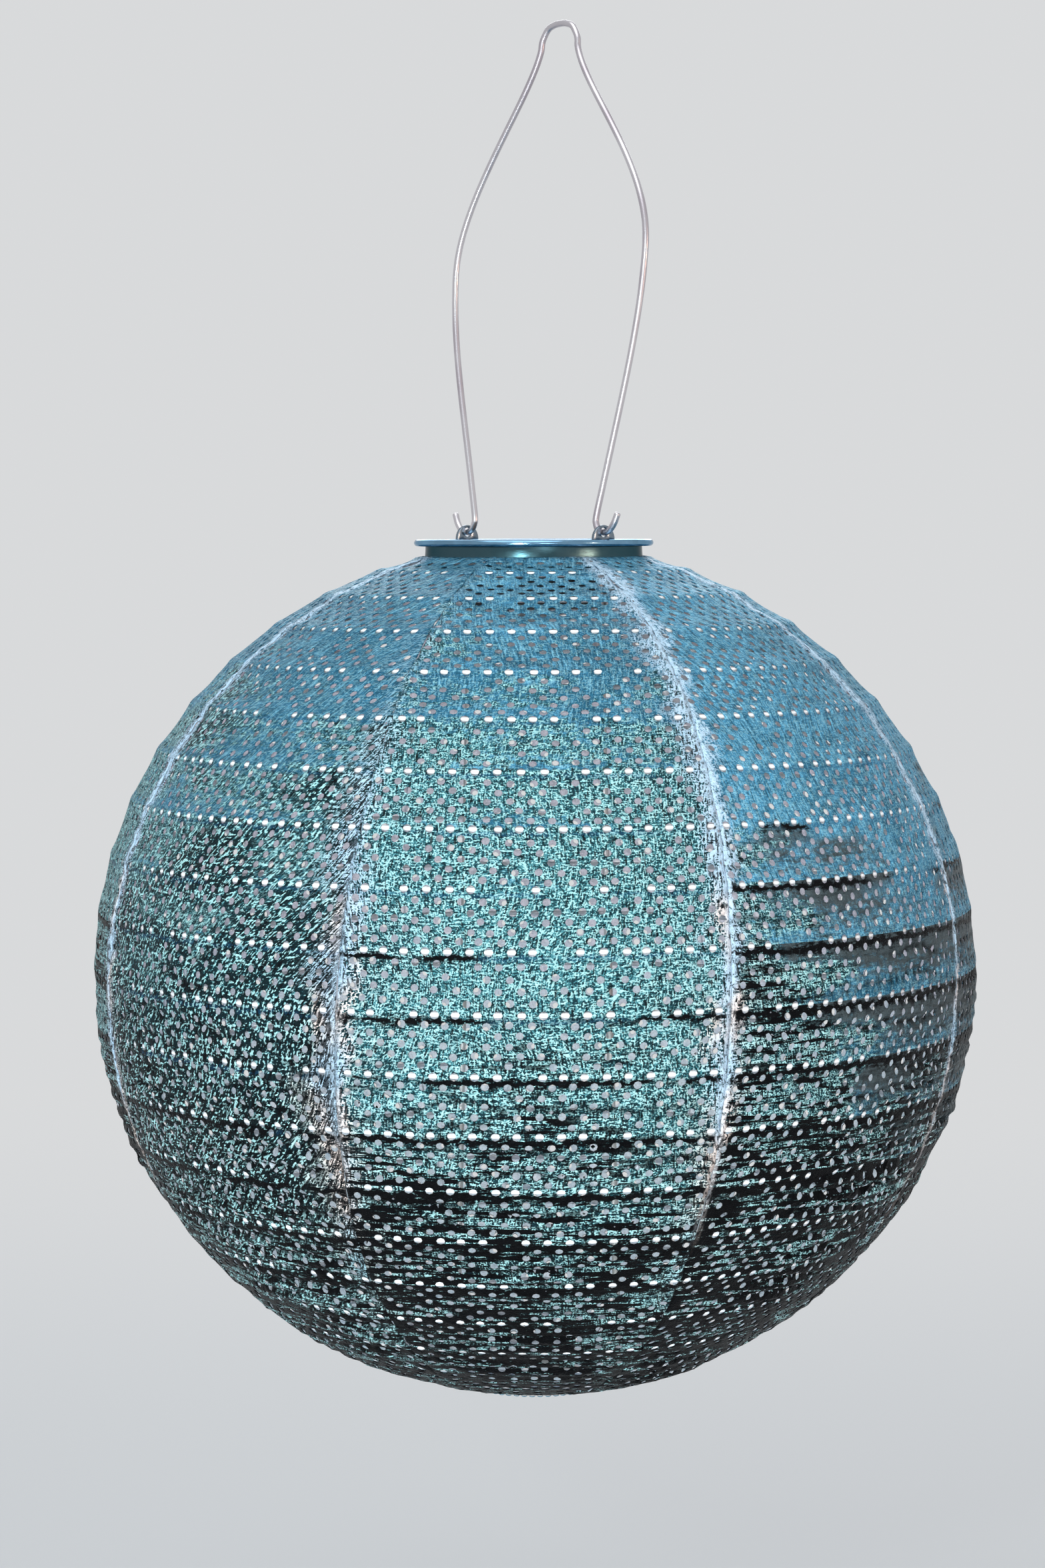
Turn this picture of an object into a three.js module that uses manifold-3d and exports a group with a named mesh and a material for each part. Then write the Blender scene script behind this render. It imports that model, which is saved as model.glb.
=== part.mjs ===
// Hanging globe lantern: a perforated cloth shade drawn over wire hoops, closed at the top by a
// polished rim that holds a drop-in solar lamp unit, and hung from a bent wire bail.
// Lengths are millimetres and +Z is up. The origin is the hang point, under the crest of the bail.
// X runs along the ear line, about which the globe swings on the bail.

import * as THREE from 'three';
import { mergeVertices } from 'three/addons/utils/BufferGeometryUtils.js';
import Module from 'manifold-3d';

const wasm = await Module();
wasm.setup();

// ---------- Driving dimensions ----------

const seatGap = 0.3; // left between pieces that rest on each other
const slideClearance = 0.4; // round a piece that slides or lifts in its seat

// Shade: an ellipsoid of eight gores, kinked where it crosses each hoop
const globeRadius = 150;
const globeHalfHeight = 145;
const clothThickness = 0.8;
const goreCount = 8;
const facetsPerGore = 4;
const seamGap = 0.3;
const hoopCount = 20;
const hoopWire = 1.8;
const hoopSides = 4;
const hemToHoop = 5.8; // degrees of latitude from the hem down to the highest hoop
const patchToHoop = 5.8; // and from the patch's edge up to the lowest
const patchRadius = 24;
const patchEdgeGap = 0.5;

// Openings: a plain grid that lets light through the cloth, one row to every second band
const openingWidth = 16;
const openingHeight = 12;
const openingLand = 6; // least cloth between two openings of a row
const openingsAcross = 3; // in one gore, at most
const bandsPerOpeningRow = 2;
const flatTolerance = 0.001; // within which the facets round an opening are joined again

// Battery: the lamp unit's housing is sized round it
const batteryRadius = 5.25;
const batteryLength = 29.5;
const batteryNub = 0.8;
const batteryNubRadius = 1.9;
const batterySlack = 0.3;

// Lamp unit: a cap that rests on the rim's ledge, over a round housing
const housingWall = 1.6;
const housingFloor = 1.8;
const housingDepth = 19.8;
const housingEdge = 0.8;
const housingClearance = 1; // to the ledge it passes through
const ledgeWidth = 3.4;
const capThickness = 3;
const capRecess = 0.2; // below the top of the rim
const capEdge = 0.4;
const capBorder = 3.4; // round the window
const thumbNotch = 5; // radius of the two notches that lift the cap
const thumbNotchDepth = 1.6;
const windowThickness = 1;
const windowMargin = 0.3;
const windowChamfer = 0.3;
const cellCornerMargin = 1.15; // inside the window
const cellThickness = 0.8;
const wireHole = 3;
const gasketWidth = 1.2;
const gasketInset = 1.5; // from the cap's edge to the middle of the gasket
const gasketGroove = 0.9;
const lampFacets = 36;
const lensFacets = 20;

// Screws, battery door and contacts
const screwInset = 3.6; // from the housing's face to the screw's middle
const screwBoss = 2.4;
const screwShank = 1.6;
const screwHead = 3.4;
const screwHeadHeight = 1.1;
const screwGrip = 1.2; // how far the shank enters the cap
const screwSlack = 0.3; // round the shank in its hole
const screwSides = 10;
const contactSheet = 0.5;
const contactWidth = 7;
const contactHeight = 8;
const ribSheet = 1.2;
const ribWidth = 8;
const ribHeight = 9;
const doorSlack = 0.25; // past each side of the battery
const doorMargin = 0.4;
const doorScrewInset = 3;
const doorScrewHeight = 0.6;
const doorRibs = 4;
const doorRibPitch = 1.6;
const doorRibWidth = 0.7;
const doorRibDepth = 0.4;

// Switch, circuit board, light and lens
const switchOffset = -13.5;
const switchBodyLength = 10;
const switchBodyWidth = 5.6;
const switchBodyHeight = 6.5;
const switchTravel = 3;
const knobStem = 3;
const knobStemWidth = 1.8;
const knobStemReach = 2; // up into the switch body
const knobLength = 4.4;
const knobWidth = 3.4;
const knobHeight = 1.5;
const knobRidges = 3;
const knobRidge = 0.5;
const boardWidth = 26;
const boardLength = 20;
const boardOffset = -7.5;
const boardThickness = 1.2;
const chipSide = 4;
const chipHeight = 1.1;
const chipSpread = 5;
const ledRadius = 2.5;
const ledFlange = 0.4;
const ledFlangeHeight = 1;
const ledBarrel = 5;
const lensRadius = 5;
const lensWall = 1;
const lensFlange = 0.9;
const lensSkirt = 1.6;
const lensToDoor = 0.2;

// Bail: bent from one wire, hooked outwards through the ears
const bailWire = 2.2;
const bailSides = 8;
const bailHeight = 170.4; // ear line to the underside of the crest
const bailLean = 4.3; // degrees from plumb, about the ear line, as it hangs
const legClearance = 0.9; // from the leg's foot to the cap, which lifts past it
const hookInset = 3.7; // leg's foot, inwards of the ear
const hookReach = 6.4; // tail's tip, outwards of the ear
const hookRise = 6.4; // tail's tip, above the ear line
const bellyHalfWidth = 47.2;
const bellyHeight = 101.5;
const bellyPull = 28; // how softly the leg runs into the belly
const legSplay = 8.2; // sideways run of the leg over its first pull, below
const legPull = 40;
const shoulderTurn = 30; // how softly the wire leaves the belly
const crestTurn = 12; // how softly it comes up into the crest
const crestHalfWidth = 8.6;
const crestDepth = 5.2; // from the crest down to where its legs stand upright

// Rim: a pressed stainless ring with a rolled edge, a ledge for the lamp unit and two ears
const rimSheet = 1.2;
const rolledEdge = 2.3;
const wellWall = 1;
const earToEdge = 6.2;
const earThickness = 1.2;
const earHoleSlack = 0.5; // round the wire
const earBridge = 0.8; // metal left above the hole
const wireAboveRim = 1.3;
const rimAboveHem = 4.8;
const rimFacets = 40;

// Neck: the band under the rim, and the sewn-in ring that it traps in the hem
const neckSetback = 3.1; // from the rim's edge
const neckWaist = 0.5; // how far the band draws in half-way down
const neckSheet = 1;
const neckLipOverhang = 0.4; // how far its lip passes the hem ring
const hemClearance = 0.8;
const hemWire = 2.2;
const hemRingSetback = 1.6; // from the hem's edge, along the cloth

// Stretcher: an inner wire that props the rim off the lowest hoop
const stretcherWire = 2.5;
const stretcherSides = 6;
const stretcherInset = 2.65; // from its leg to the neck band
const stretcherHookSetback = 1.5; // from its tip to the edge of the lip that it bears on
const stretcherBend = 4;
const stretcherFoot = 2.8; // past the lowest hoop

// ---------- Radii that follow, from the battery outwards ----------

const doorWidth = 2 * (batteryRadius + doorSlack);
const batteryOffset = lensRadius + lensFlange + lensToDoor + doorMargin + doorWidth / 2;
const batteryCorner = Math.hypot(batteryLength / 2, batteryOffset + batteryRadius);
const housingRadius = batteryCorner + batterySlack + housingWall;
const ledgeRadius = housingRadius + housingClearance;
const wellRadius = ledgeRadius + ledgeWidth;
const capRadius = wellRadius - slideClearance;
const windowRadius = capRadius - capBorder;
const cellSide = Math.SQRT2 * (windowRadius - cellCornerMargin);
const earRadius = capRadius + legClearance + bailWire / 2 + hookInset;
const rimRadius = earRadius + earToEdge;
const neckRadius = rimRadius - neckSetback;
const hemRadius = neckRadius + hemClearance;

// ---------- Materials ----------

const finish = (color, roughness, metalness) => (
  new THREE.MeshStandardMaterial({ color, roughness, metalness })
);
const stainless = finish(0xc9ced2, 0.14, 1);
const stainlessWire = finish(0xc4c8cc, 0.22, 1);
const coatedWire = finish(0xeef0f2, 0.45, 0.1);
const tealCloth = finish(0x4f8ea8, 0.5, 0.35);
const blackPlastic = finish(0x1b1d20, 0.42, 0);
const windowPlastic = finish(0x9fb3c0, 0.06, 0);
const solarBlue = finish(0x14233f, 0.22, 0.3);
const sealRubber = finish(0x202123, 0.75, 0);
const boardGreen = finish(0x1d5a3c, 0.5, 0);
const ledClear = finish(0xf3e6b4, 0.1, 0);
const lensFrosted = finish(0xe6ebee, 0.35, 0);
const batterySleeve = finish(0x3f7d4a, 0.4, 0);
const springSteel = finish(0xb4b6b2, 0.3, 1);
const screwSteel = finish(0xa9adb0, 0.3, 1);

// ---------- Geometry helpers ----------

const radians = THREE.MathUtils.degToRad;

// A ring or disc turned about Z. The outline is [radius, height] pairs, counter-clockwise.
function revolve(outline, facets) {
  const snap = (radius) => (radius < 1e-6 ? 0 : radius);
  const points = outline.map(([radius, height]) => new THREE.Vector2(snap(radius), height));
  const onAxis = points[0].x === 0 && points.at(-1).x === 0;
  if (!onAxis) points.push(points[0].clone());
  return new THREE.LatheGeometry(points, facets).rotateX(Math.PI / 2);
}

function disc(radius, bottom, top, facets) {
  return revolve([[0, bottom], [radius, bottom], [radius, top], [0, top]], facets);
}

function block(width, depth, bottom, top, x = 0, y = 0) {
  return new THREE.BoxGeometry(width, depth, top - bottom).translate(x, y, (bottom + top) / 2);
}

// Points on an arc, as [radius, height] pairs. Angles are degrees from the outward direction.
function arc(radius, height, bend, from, to, steps) {
  return Array.from({ length: steps + 1 }, (_, i) => {
    const angle = radians(from + (to - from) * i / steps);
    return [radius + bend * Math.cos(angle), height + bend * Math.sin(angle)];
  });
}

function toSolid(geometry) {
  const bare = geometry.clone();
  bare.deleteAttribute('normal');
  bare.deleteAttribute('uv');
  const merged = mergeVertices(bare, 1e-4);
  return new wasm.Manifold(new wasm.Mesh({
    numProp: 3,
    vertProperties: new Float32Array(merged.attributes.position.array),
    triVerts: new Uint32Array(merged.index.array),
  }));
}

function toGeometry(solid) {
  const result = solid.getMesh();
  const geometry = new THREE.BufferGeometry();
  geometry.setAttribute('position', new THREE.BufferAttribute(result.vertProperties, 3));
  geometry.setIndex(new THREE.BufferAttribute(result.triVerts, 1));
  return geometry;
}

// One body, with other geometries joined to it and then cut from it.
function carve(body, { join = [], cut = [] }) {
  let solid = toSolid(body);
  for (const piece of join) solid = solid.add(toSolid(piece));
  for (const piece of cut) solid = solid.subtract(toSolid(piece));
  return toGeometry(solid);
}

function part(name, geometry, material) {
  const mesh = new THREE.Mesh(geometry, material.clone());
  mesh.name = name;
  return mesh;
}

// A spline whose stations follow its control points, so that tight bends get as many as long legs.
class StationedSpline extends THREE.CatmullRomCurve3 {
  getPointAt(t, target) {
    return this.getPoint(t, target);
  }

  getTangentAt(t, target) {
    return this.getTangent(t, target);
  }
}

// A round wire bent in the XZ plane and mirrored in X. The half route is [x, z] pairs that run
// from its tip to its middle, which lies on the Z axis.
function bentWire(halfRoute, diameter, sides, stationsPerPoint) {
  const half = halfRoute.map(([x, z]) => new THREE.Vector3(x, 0, z));
  const mirrored = half.slice(0, -1).reverse().map((p) => new THREE.Vector3(-p.x, 0, p.z));
  const route = new StationedSpline([...half, ...mirrored]);
  const section = new THREE.Shape(Array.from({ length: sides }, (_, i) => {
    const angle = (i + 0.5) * 2 * Math.PI / sides;
    return new THREE.Vector2(Math.cos(angle), Math.sin(angle)).multiplyScalar(diameter / 2);
  }));
  const steps = (route.points.length - 1) * stationsPerPoint;
  return new THREE.ExtrudeGeometry(section, { extrudePath: route, steps, bevelEnabled: false });
}

function bezier(from, control1, control2, to, steps) {
  const corners = [from, control1, control2, to].map(([x, z]) => new THREE.Vector2(x, z));
  return new THREE.CubicBezierCurve(...corners).getPoints(steps).map((p) => [p.x, p.y]);
}

// ---------- The shade ----------

const goreAngle = 360 / goreCount;
const shadeFacets = goreCount * facetsPerGore;
const latitudeAt = (radius) => THREE.MathUtils.radToDeg(Math.acos(radius / globeRadius));
const hemLatitude = latitudeAt(hemRadius);
const highestHoopLatitude = hemLatitude - hemToHoop;
const lowestHoopLatitude = patchToHoop - latitudeAt(patchRadius);
const hoopPitch = (highestHoopLatitude - lowestHoopLatitude) / (hoopCount - 1);
const hoopLatitude = (index) => lowestHoopLatitude + index * hoopPitch;

// A point [radius, height] of the cloth's outer face at a latitude in degrees, moved inwards.
function meridian(latitude, inset = 0) {
  const across = Math.cos(radians(latitude));
  const up = Math.sin(radians(latitude));
  const normal = new THREE.Vector2(across / globeRadius, up / globeHalfHeight).normalize();
  return [globeRadius * across - inset * normal.x, globeHalfHeight * up - inset * normal.y];
}

// The cloth runs straight from hoop to hoop, so its rows lie at the hoops.
function shadeShell() {
  const rows = [-latitudeAt(patchRadius + patchEdgeGap)];
  for (let index = 0; index < hoopCount; index += 1) rows.push(hoopLatitude(index));
  rows.push(hemLatitude);
  const outer = rows.map((latitude) => meridian(latitude));
  const inner = rows.map((latitude) => meridian(latitude, clothThickness)).reverse();
  return revolve([...outer, ...inner], shadeFacets);
}

// The sector that holds one gore, with half a seam gap left along each side.
function goreSector() {
  const half = radians(goreAngle / 2);
  const apex = seamGap / 2 / Math.sin(half);
  const reach = 2 * globeRadius;
  const sector = new THREE.Shape([
    new THREE.Vector2(apex, 0),
    new THREE.Vector2(apex + reach * Math.cos(half), -reach * Math.sin(half)),
    new THREE.Vector2(apex + reach * Math.cos(half), reach * Math.sin(half)),
  ]);
  return new THREE.ExtrudeGeometry(sector, { depth: 4 * globeHalfHeight, bevelEnabled: false })
    .translate(0, 0, -2 * globeHalfHeight);
}

// The cutters for one row of openings, half-way up the band of cloth above a hoop.
function openingRow(index) {
  const [lowRadius, lowHeight] = meridian(hoopLatitude(index));
  const [highRadius, highHeight] = meridian(hoopLatitude(index + 1));
  const radius = (lowRadius + highRadius) / 2;
  const tilt = Math.atan2(lowRadius - highRadius, highHeight - lowHeight);
  const facetSag = radius * (1 - Math.cos(Math.PI / shadeFacets));
  const depth = 3 * (clothThickness + facetSag);
  const room = radians(goreAngle) * radius / (openingWidth + openingLand);
  const count = Math.min(openingsAcross, Math.floor(room));
  return Array.from({ length: count }, (_, place) => (
    new THREE.BoxGeometry(depth, openingWidth, openingHeight)
      .rotateY(-tilt)
      .translate(radius, 0, (lowHeight + highHeight) / 2)
      .rotateZ(radians(((place + 0.5) / count - 0.5) * goreAngle))
  ));
}

function makeGores() {
  let cloth = toSolid(shadeShell()).intersect(toSolid(goreSector()));
  for (let index = 0; index < hoopCount - 1; index += bandsPerOpeningRow) {
    for (const opening of openingRow(index)) cloth = cloth.subtract(toSolid(opening));
  }
  const gore = toGeometry(cloth.asOriginal().simplify(flatTolerance));
  return Array.from({ length: goreCount }, (_, index) => {
    const mesh = part(`gore_${index + 1}`, gore.clone(), tealCloth);
    mesh.rotation.z = radians(index * goreAngle);
    return mesh;
  });
}

function makePatch() {
  const edge = -latitudeAt(patchRadius);
  const outer = [-90, edge].map((latitude) => meridian(latitude));
  const inner = [edge, -90].map((latitude) => meridian(latitude, clothThickness));
  return part('bottom_patch', revolve([...outer, ...inner], shadeFacets), tealCloth);
}

const hoopPlace = (index) => meridian(hoopLatitude(index), clothThickness + seatGap + hoopWire / 2);
const hoopFacets = (radius) => (radius < globeRadius / 2 ? shadeFacets / 2 : shadeFacets);

function makeHoops() {
  return Array.from({ length: hoopCount }, (_, index) => {
    const [radius, height] = hoopPlace(index);
    const ring = new THREE.TorusGeometry(radius, hoopWire / 2, hoopSides, hoopFacets(radius));
    const mesh = part(`hoop_${String(index + 1).padStart(2, '0')}`, ring, coatedWire);
    mesh.position.z = height;
    return mesh;
  });
}

// ---------- Neck and rim. Heights are from the top of the rim ----------

const [, hemHeight] = meridian(hemLatitude);
const rimHeight = hemHeight + rimAboveHem;

// The hem ring lies under the cloth, between its edge and the highest hoop.
function hemRingPlace() {
  const edge = new THREE.Vector2(...meridian(hemLatitude));
  const along = new THREE.Vector2(...meridian(highestHoopLatitude)).sub(edge).normalize();
  const inwards = new THREE.Vector2(along.y, -along.x);
  const depth = clothThickness + seatGap + hemWire / 2;
  const place = edge.addScaledVector(along, hemRingSetback).addScaledVector(inwards, depth);
  return [place.x, place.y - rimHeight];
}

const [hemRingRadius, hemRingHeight] = hemRingPlace();
const lipTop = hemRingHeight - hemWire / 2 - seatGap;
const lipRadius = hemRingRadius + hemWire / 2 + neckLipOverhang;

function makeHemRing() {
  const ring = new THREE.TorusGeometry(hemRingRadius, hemWire / 2, hoopSides, shadeFacets);
  const mesh = part('hem_ring', ring, coatedWire);
  mesh.position.z = hemRingHeight;
  return mesh;
}

function makeNeckBand() {
  const top = -rimSheet - seatGap;
  const bottom = lipTop - neckSheet;
  const inside = neckRadius - neckSheet;
  const draw = (height) => neckWaist * Math.sin(Math.PI * (height - lipTop) / (top - lipTop));
  const waist = Array.from({ length: 4 }, (_, i) => {
    const height = lipTop + (top - lipTop) * i / 3;
    return [neckRadius - draw(height), height];
  });
  const back = waist.map(([radius, height]) => [radius - neckSheet, height]).reverse();
  return part('neck_band', revolve([
    [inside, bottom], [lipRadius, bottom], [lipRadius, lipTop],
    ...waist, ...back.slice(0, -1),
  ], rimFacets), stainless);
}

const ledgeTop = -capRecess - capThickness - seatGap;

const earHole = bailWire + 2 * earHoleSlack;
const earHoleHeight = wireAboveRim + bailWire / 2;
const earHeight = earHoleHeight + earHole / 2 + earBridge;

// An ear: a half-round tab that stands across the X axis, pierced for the bail.
function earTab(side) {
  const root = rimSheet / 2;
  const outline = new THREE.Shape();
  outline.moveTo(-earHeight, -root);
  outline.lineTo(earHeight, -root);
  outline.absarc(0, 0, earHeight, 0, Math.PI, false);
  const hole = new THREE.Path().absarc(0, earHoleHeight, earHole / 2, 0, 2 * Math.PI, true);
  outline.holes.push(hole);
  const standing = new THREE.Matrix4().makeBasis(
    new THREE.Vector3(0, 1, 0),
    new THREE.Vector3(0, 0, 1),
    new THREE.Vector3(1, 0, 0),
  );
  return new THREE.ExtrudeGeometry(outline, {
    depth: earThickness, bevelEnabled: false, curveSegments: 10,
  }).applyMatrix4(standing).translate(side * earRadius - earThickness / 2, 0, 0);
}

function makeRim() {
  const bead = rolledEdge / 2;
  const wellOutside = wellRadius + wellWall;
  const ring = revolve([
    [ledgeRadius, ledgeTop - wellWall],
    [wellOutside, ledgeTop - wellWall],
    [wellOutside, -rimSheet],
    [rimRadius - rolledEdge, -rimSheet],
    ...arc(rimRadius - bead, -bead, bead, -150, 90, 6),
    [wellRadius + wellWall / 2, 0],
    [wellRadius, -wellWall / 2],
    [wellRadius, ledgeTop],
    [ledgeRadius, ledgeTop],
  ], rimFacets);
  return part('rim', carve(ring, { join: [earTab(1), earTab(-1)] }), stainless);
}

// ---------- Stretcher ----------

function makeStretcher() {
  const [lowestRadius, lowestHeight] = hoopPlace(0);
  const wire = stretcherWire / 2;
  const hook = rimHeight + lipTop - neckSheet - seatGap - wire;
  const bar = lowestHeight + hoopWire / 2 + seatGap + wire;
  const shoulder = neckRadius - neckSheet - stretcherInset - wire;
  const foot = lowestRadius + stretcherFoot;
  const legTop = [shoulder, hook - stretcherBend];
  const legFoot = [foot, bar + stretcherBend];
  const leg = [0.2, 0.5, 0.8].map((share) => [
    THREE.MathUtils.lerp(legTop[0], legFoot[0], share),
    THREE.MathUtils.lerp(legTop[1], legFoot[1], share),
  ]);
  return part('stretcher', bentWire([
    [lipRadius - stretcherHookSetback, hook],
    [shoulder + stretcherBend, hook],
    [shoulder + stretcherBend * 0.3, hook - stretcherBend * 0.3],
    legTop, ...leg, legFoot,
    [foot - stretcherBend * 0.3, bar + stretcherBend * 0.3],
    [foot - stretcherBend, bar],
    [foot / 2, bar],
    [0, bar],
  ], stretcherWire, stretcherSides, 2), springSteel);
}

// ---------- Bail. Heights are from the ear line ----------

function makeBail() {
  const crest = bailHeight + bailWire / 2;
  const foot = earRadius - hookInset;
  const footRise = hookRise * 0.9;
  const crestFoot = crest - crestDepth;
  const hook = [
    [earRadius + hookReach, hookRise],
    [earRadius + hookReach * 0.78, hookRise * 0.5],
    [earRadius + hookReach * 0.42, hookRise * 0.08],
    [earRadius, 0],
    [earRadius - hookInset * 0.62, hookRise * 0.12],
    [earRadius - hookInset * 0.95, hookRise * 0.46],
  ];
  const leg = bezier(
    [foot, footRise],
    [foot + legSplay, footRise + legPull],
    [bellyHalfWidth, bellyHeight - bellyPull],
    [bellyHalfWidth, bellyHeight],
    5,
  );
  const shoulder = bezier(
    [bellyHalfWidth, bellyHeight],
    [bellyHalfWidth, bellyHeight + shoulderTurn],
    [crestHalfWidth, crestFoot - crestTurn],
    [crestHalfWidth, crestFoot],
    6,
  ).slice(1);
  const crown = [
    [crestHalfWidth * 0.72, crest - crestDepth * 0.3],
    [crestHalfWidth * 0.38, crest - crestDepth * 0.06],
    [0, crest],
  ];
  const wire = bentWire([...hook, ...leg, ...shoulder, ...crown], bailWire, bailSides, 2);
  return part('bail', wire, stainlessWire);
}

// ---------- Lamp unit. Heights are from the top of the rim ----------

const capTop = -capRecess;
const capUnderside = capTop - capThickness;
const housingTop = capUnderside - seatGap;
const floorInside = housingTop - housingDepth + housingFloor;
const floorOutside = housingTop - housingDepth;
const windowBed = capTop - windowThickness - seatGap;
const cellBed = windowBed - cellThickness - seatGap;
const holderHalfLength = batteryLength / 2 + seatGap;
const doorHalfLength = holderHalfLength;
const screwCircle = housingRadius - screwInset;
const screwPlaces = [90, 210, 330].map((degrees) => [
  screwCircle * Math.cos(radians(degrees)),
  screwCircle * Math.sin(radians(degrees)),
]);

function pillar(radius, bottom, top, [x, y], facets = screwSides) {
  return disc(radius, bottom, top, facets).translate(x, y, 0);
}

function makeCap() {
  const grooveMiddle = capRadius - gasketInset;
  const grooveHalf = gasketWidth / 2 + seatGap / 2;
  const body = revolve([
    [0, capUnderside],
    [grooveMiddle - grooveHalf, capUnderside],
    [grooveMiddle - grooveHalf, capUnderside + gasketGroove],
    [grooveMiddle + grooveHalf, capUnderside + gasketGroove],
    [grooveMiddle + grooveHalf, capUnderside],
    [capRadius, capUnderside],
    [capRadius, capTop - capEdge],
    [capRadius - capEdge, capTop],
    [windowRadius + windowMargin, capTop],
    [windowRadius + windowMargin, windowBed],
    [0, windowBed],
  ], lampFacets);
  const pocket = block(cellSide + 2 * seatGap, cellSide + 2 * seatGap, cellBed, windowBed + 1);
  const wires = disc(wireHole / 2, capUnderside - 1, windowBed, screwSides)
    .translate(0, cellSide / 4, 0);
  const screwHoles = screwPlaces.map((place) => pillar(
    screwShank / 2 + screwSlack,
    capUnderside - 1,
    capUnderside + screwGrip + seatGap / 2,
    place,
  ));
  const notchPlace = windowRadius + windowMargin + seatGap + thumbNotch;
  const notches = [-notchPlace, notchPlace].map((y) => pillar(
    thumbNotch, capTop - thumbNotchDepth, capTop + 1, [0, y], 2 * screwSides,
  ));
  const cut = [pocket, wires, ...screwHoles, ...notches];
  return part('lid_cap', carve(body, { cut }), blackPlastic);
}

function makeWindow() {
  const bottom = windowBed + seatGap;
  return part('cell_window', revolve([
    [0, bottom],
    [windowRadius, bottom],
    [windowRadius, capTop - windowChamfer],
    [windowRadius - windowChamfer, capTop],
    [0, capTop],
  ], lampFacets), windowPlastic);
}

function makeSolarCell() {
  const bottom = cellBed + seatGap / 2;
  return part('solar_cell', block(cellSide, cellSide, bottom, bottom + cellThickness), solarBlue);
}

function makeGasket() {
  const middle = capRadius - gasketInset;
  const half = gasketWidth / 2;
  const top = capUnderside + gasketGroove - seatGap / 2;
  const bottom = ledgeTop + seatGap / 2;
  return part('lid_gasket', revolve([
    [middle - half, bottom], [middle + half, bottom], [middle + half, top], [middle - half, top],
  ], lampFacets), sealRubber);
}

function makeHousing() {
  const inside = housingRadius - housingWall;
  const cup = revolve([
    [0, floorOutside],
    [housingRadius - housingEdge, floorOutside],
    [housingRadius, floorOutside + housingEdge],
    [housingRadius, housingTop],
    [inside, housingTop],
    [inside, floorInside],
    [0, floorInside],
  ], lampFacets);
  const bosses = screwPlaces.map((place) => pillar(
    screwBoss, floorInside - housingFloor / 2, housingTop, place,
  ));
  const ribX = holderHalfLength + contactSheet + 2 * seatGap + ribSheet / 2;
  const reach = toSolid(disc(inside + housingWall / 2, floorOutside, housingTop, lampFacets));
  const ribs = [-ribX, ribX].map((x) => toGeometry(toSolid(block(
    ribSheet, ribWidth, floorInside - housingFloor / 2, floorInside + ribHeight,
    x, batteryOffset,
  )).intersect(reach)));
  const recess = screwHeadHeight + seatGap;
  const screwHoles = screwPlaces.flatMap((place) => [
    pillar(screwShank / 2 + screwSlack, floorOutside - 1, housingTop + 1, place),
    pillar(screwHead / 2 + screwSlack, floorOutside - 1, floorOutside + recess, place),
  ]);
  const doorway = block(
    2 * (doorHalfLength + doorMargin), doorWidth + 2 * doorMargin,
    floorOutside - 1, floorInside + 1, 0, batteryOffset,
  );
  const ledHole = disc(lensRadius - lensWall, floorOutside - 1, floorInside + 1, lensFacets);
  const slot = block(
    knobStem + switchTravel + 2 * slideClearance, knobStemWidth + 2 * slideClearance,
    floorOutside - 1, floorInside + 1, 0, switchOffset,
  );
  return part('lamp_housing', carve(cup, {
    join: [...bosses, ...ribs],
    cut: [...screwHoles, doorway, ledHole, slot],
  }), blackPlastic);
}

function makeHousingScrews() {
  const headTop = floorOutside + screwHeadHeight;
  const tip = capUnderside + screwGrip;
  return screwPlaces.map(([x, y], index) => part(`housing_screw_${index + 1}`, revolve([
    [0, floorOutside],
    [screwHead / 2 - seatGap, floorOutside],
    [screwHead / 2, floorOutside + seatGap],
    [screwHead / 2, headTop],
    [screwShank / 2, headTop],
    [screwShank / 2, tip],
    [0, tip],
  ], screwSides).translate(x, y, 0), screwSteel));
}

function makeBatteryDoor() {
  const door = block(
    2 * doorHalfLength, doorWidth, floorOutside, floorInside, 0, batteryOffset,
  );
  const place = [doorHalfLength - doorScrewInset, batteryOffset];
  const screwBed = floorOutside + doorScrewHeight + seatGap;
  const grip = Array.from({ length: doorRibs }, (_, i) => block(
    doorRibWidth, doorWidth / 2, floorOutside - 1, floorOutside + doorRibDepth,
    doorRibPitch * (i + 1.5) - doorHalfLength, batteryOffset,
  ));
  return part('battery_door', carve(door, {
    cut: [
      pillar(screwHead / 2 + screwSlack, floorOutside - 1, screwBed, place),
      ...grip,
    ],
  }), blackPlastic);
}

function makeDoorScrew() {
  const head = pillar(screwHead / 2, floorOutside, floorOutside + doorScrewHeight, [0, 0]);
  const slot = block(screwHead + 1, doorScrewHeight, floorOutside - 1, floorOutside + seatGap);
  const screw = carve(head, { cut: [slot] });
  screw.translate(doorHalfLength - doorScrewInset, batteryOffset, 0);
  return part('door_screw', screw, screwSteel);
}

const batteryHeight = floorInside + seatGap + batteryRadius;

function makeBattery() {
  const body = batteryLength - batteryNub;
  const crimp = batteryNub / 2;
  const cell = revolve([
    [0, 0],
    [batteryRadius - crimp, 0],
    [batteryRadius, crimp],
    [batteryRadius, body - crimp],
    [batteryRadius - crimp, body],
    [batteryNubRadius, body],
    [batteryNubRadius, batteryLength],
    [0, batteryLength],
  ], lensFacets).rotateY(Math.PI / 2).translate(-batteryLength / 2, batteryOffset, batteryHeight);
  return part('battery', cell, batterySleeve);
}

function makeContacts() {
  const x = holderHalfLength + seatGap + contactSheet / 2;
  const bottom = floorInside + seatGap;
  return [-x, x].map((place, index) => part(`battery_contact_${index + 1}`, block(
    contactSheet, contactWidth, bottom, bottom + contactHeight, place, batteryOffset,
  ), springSteel));
}

const switchTop = floorInside + seatGap + switchBodyHeight;
const boardBottom = switchTop + seatGap;

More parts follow.
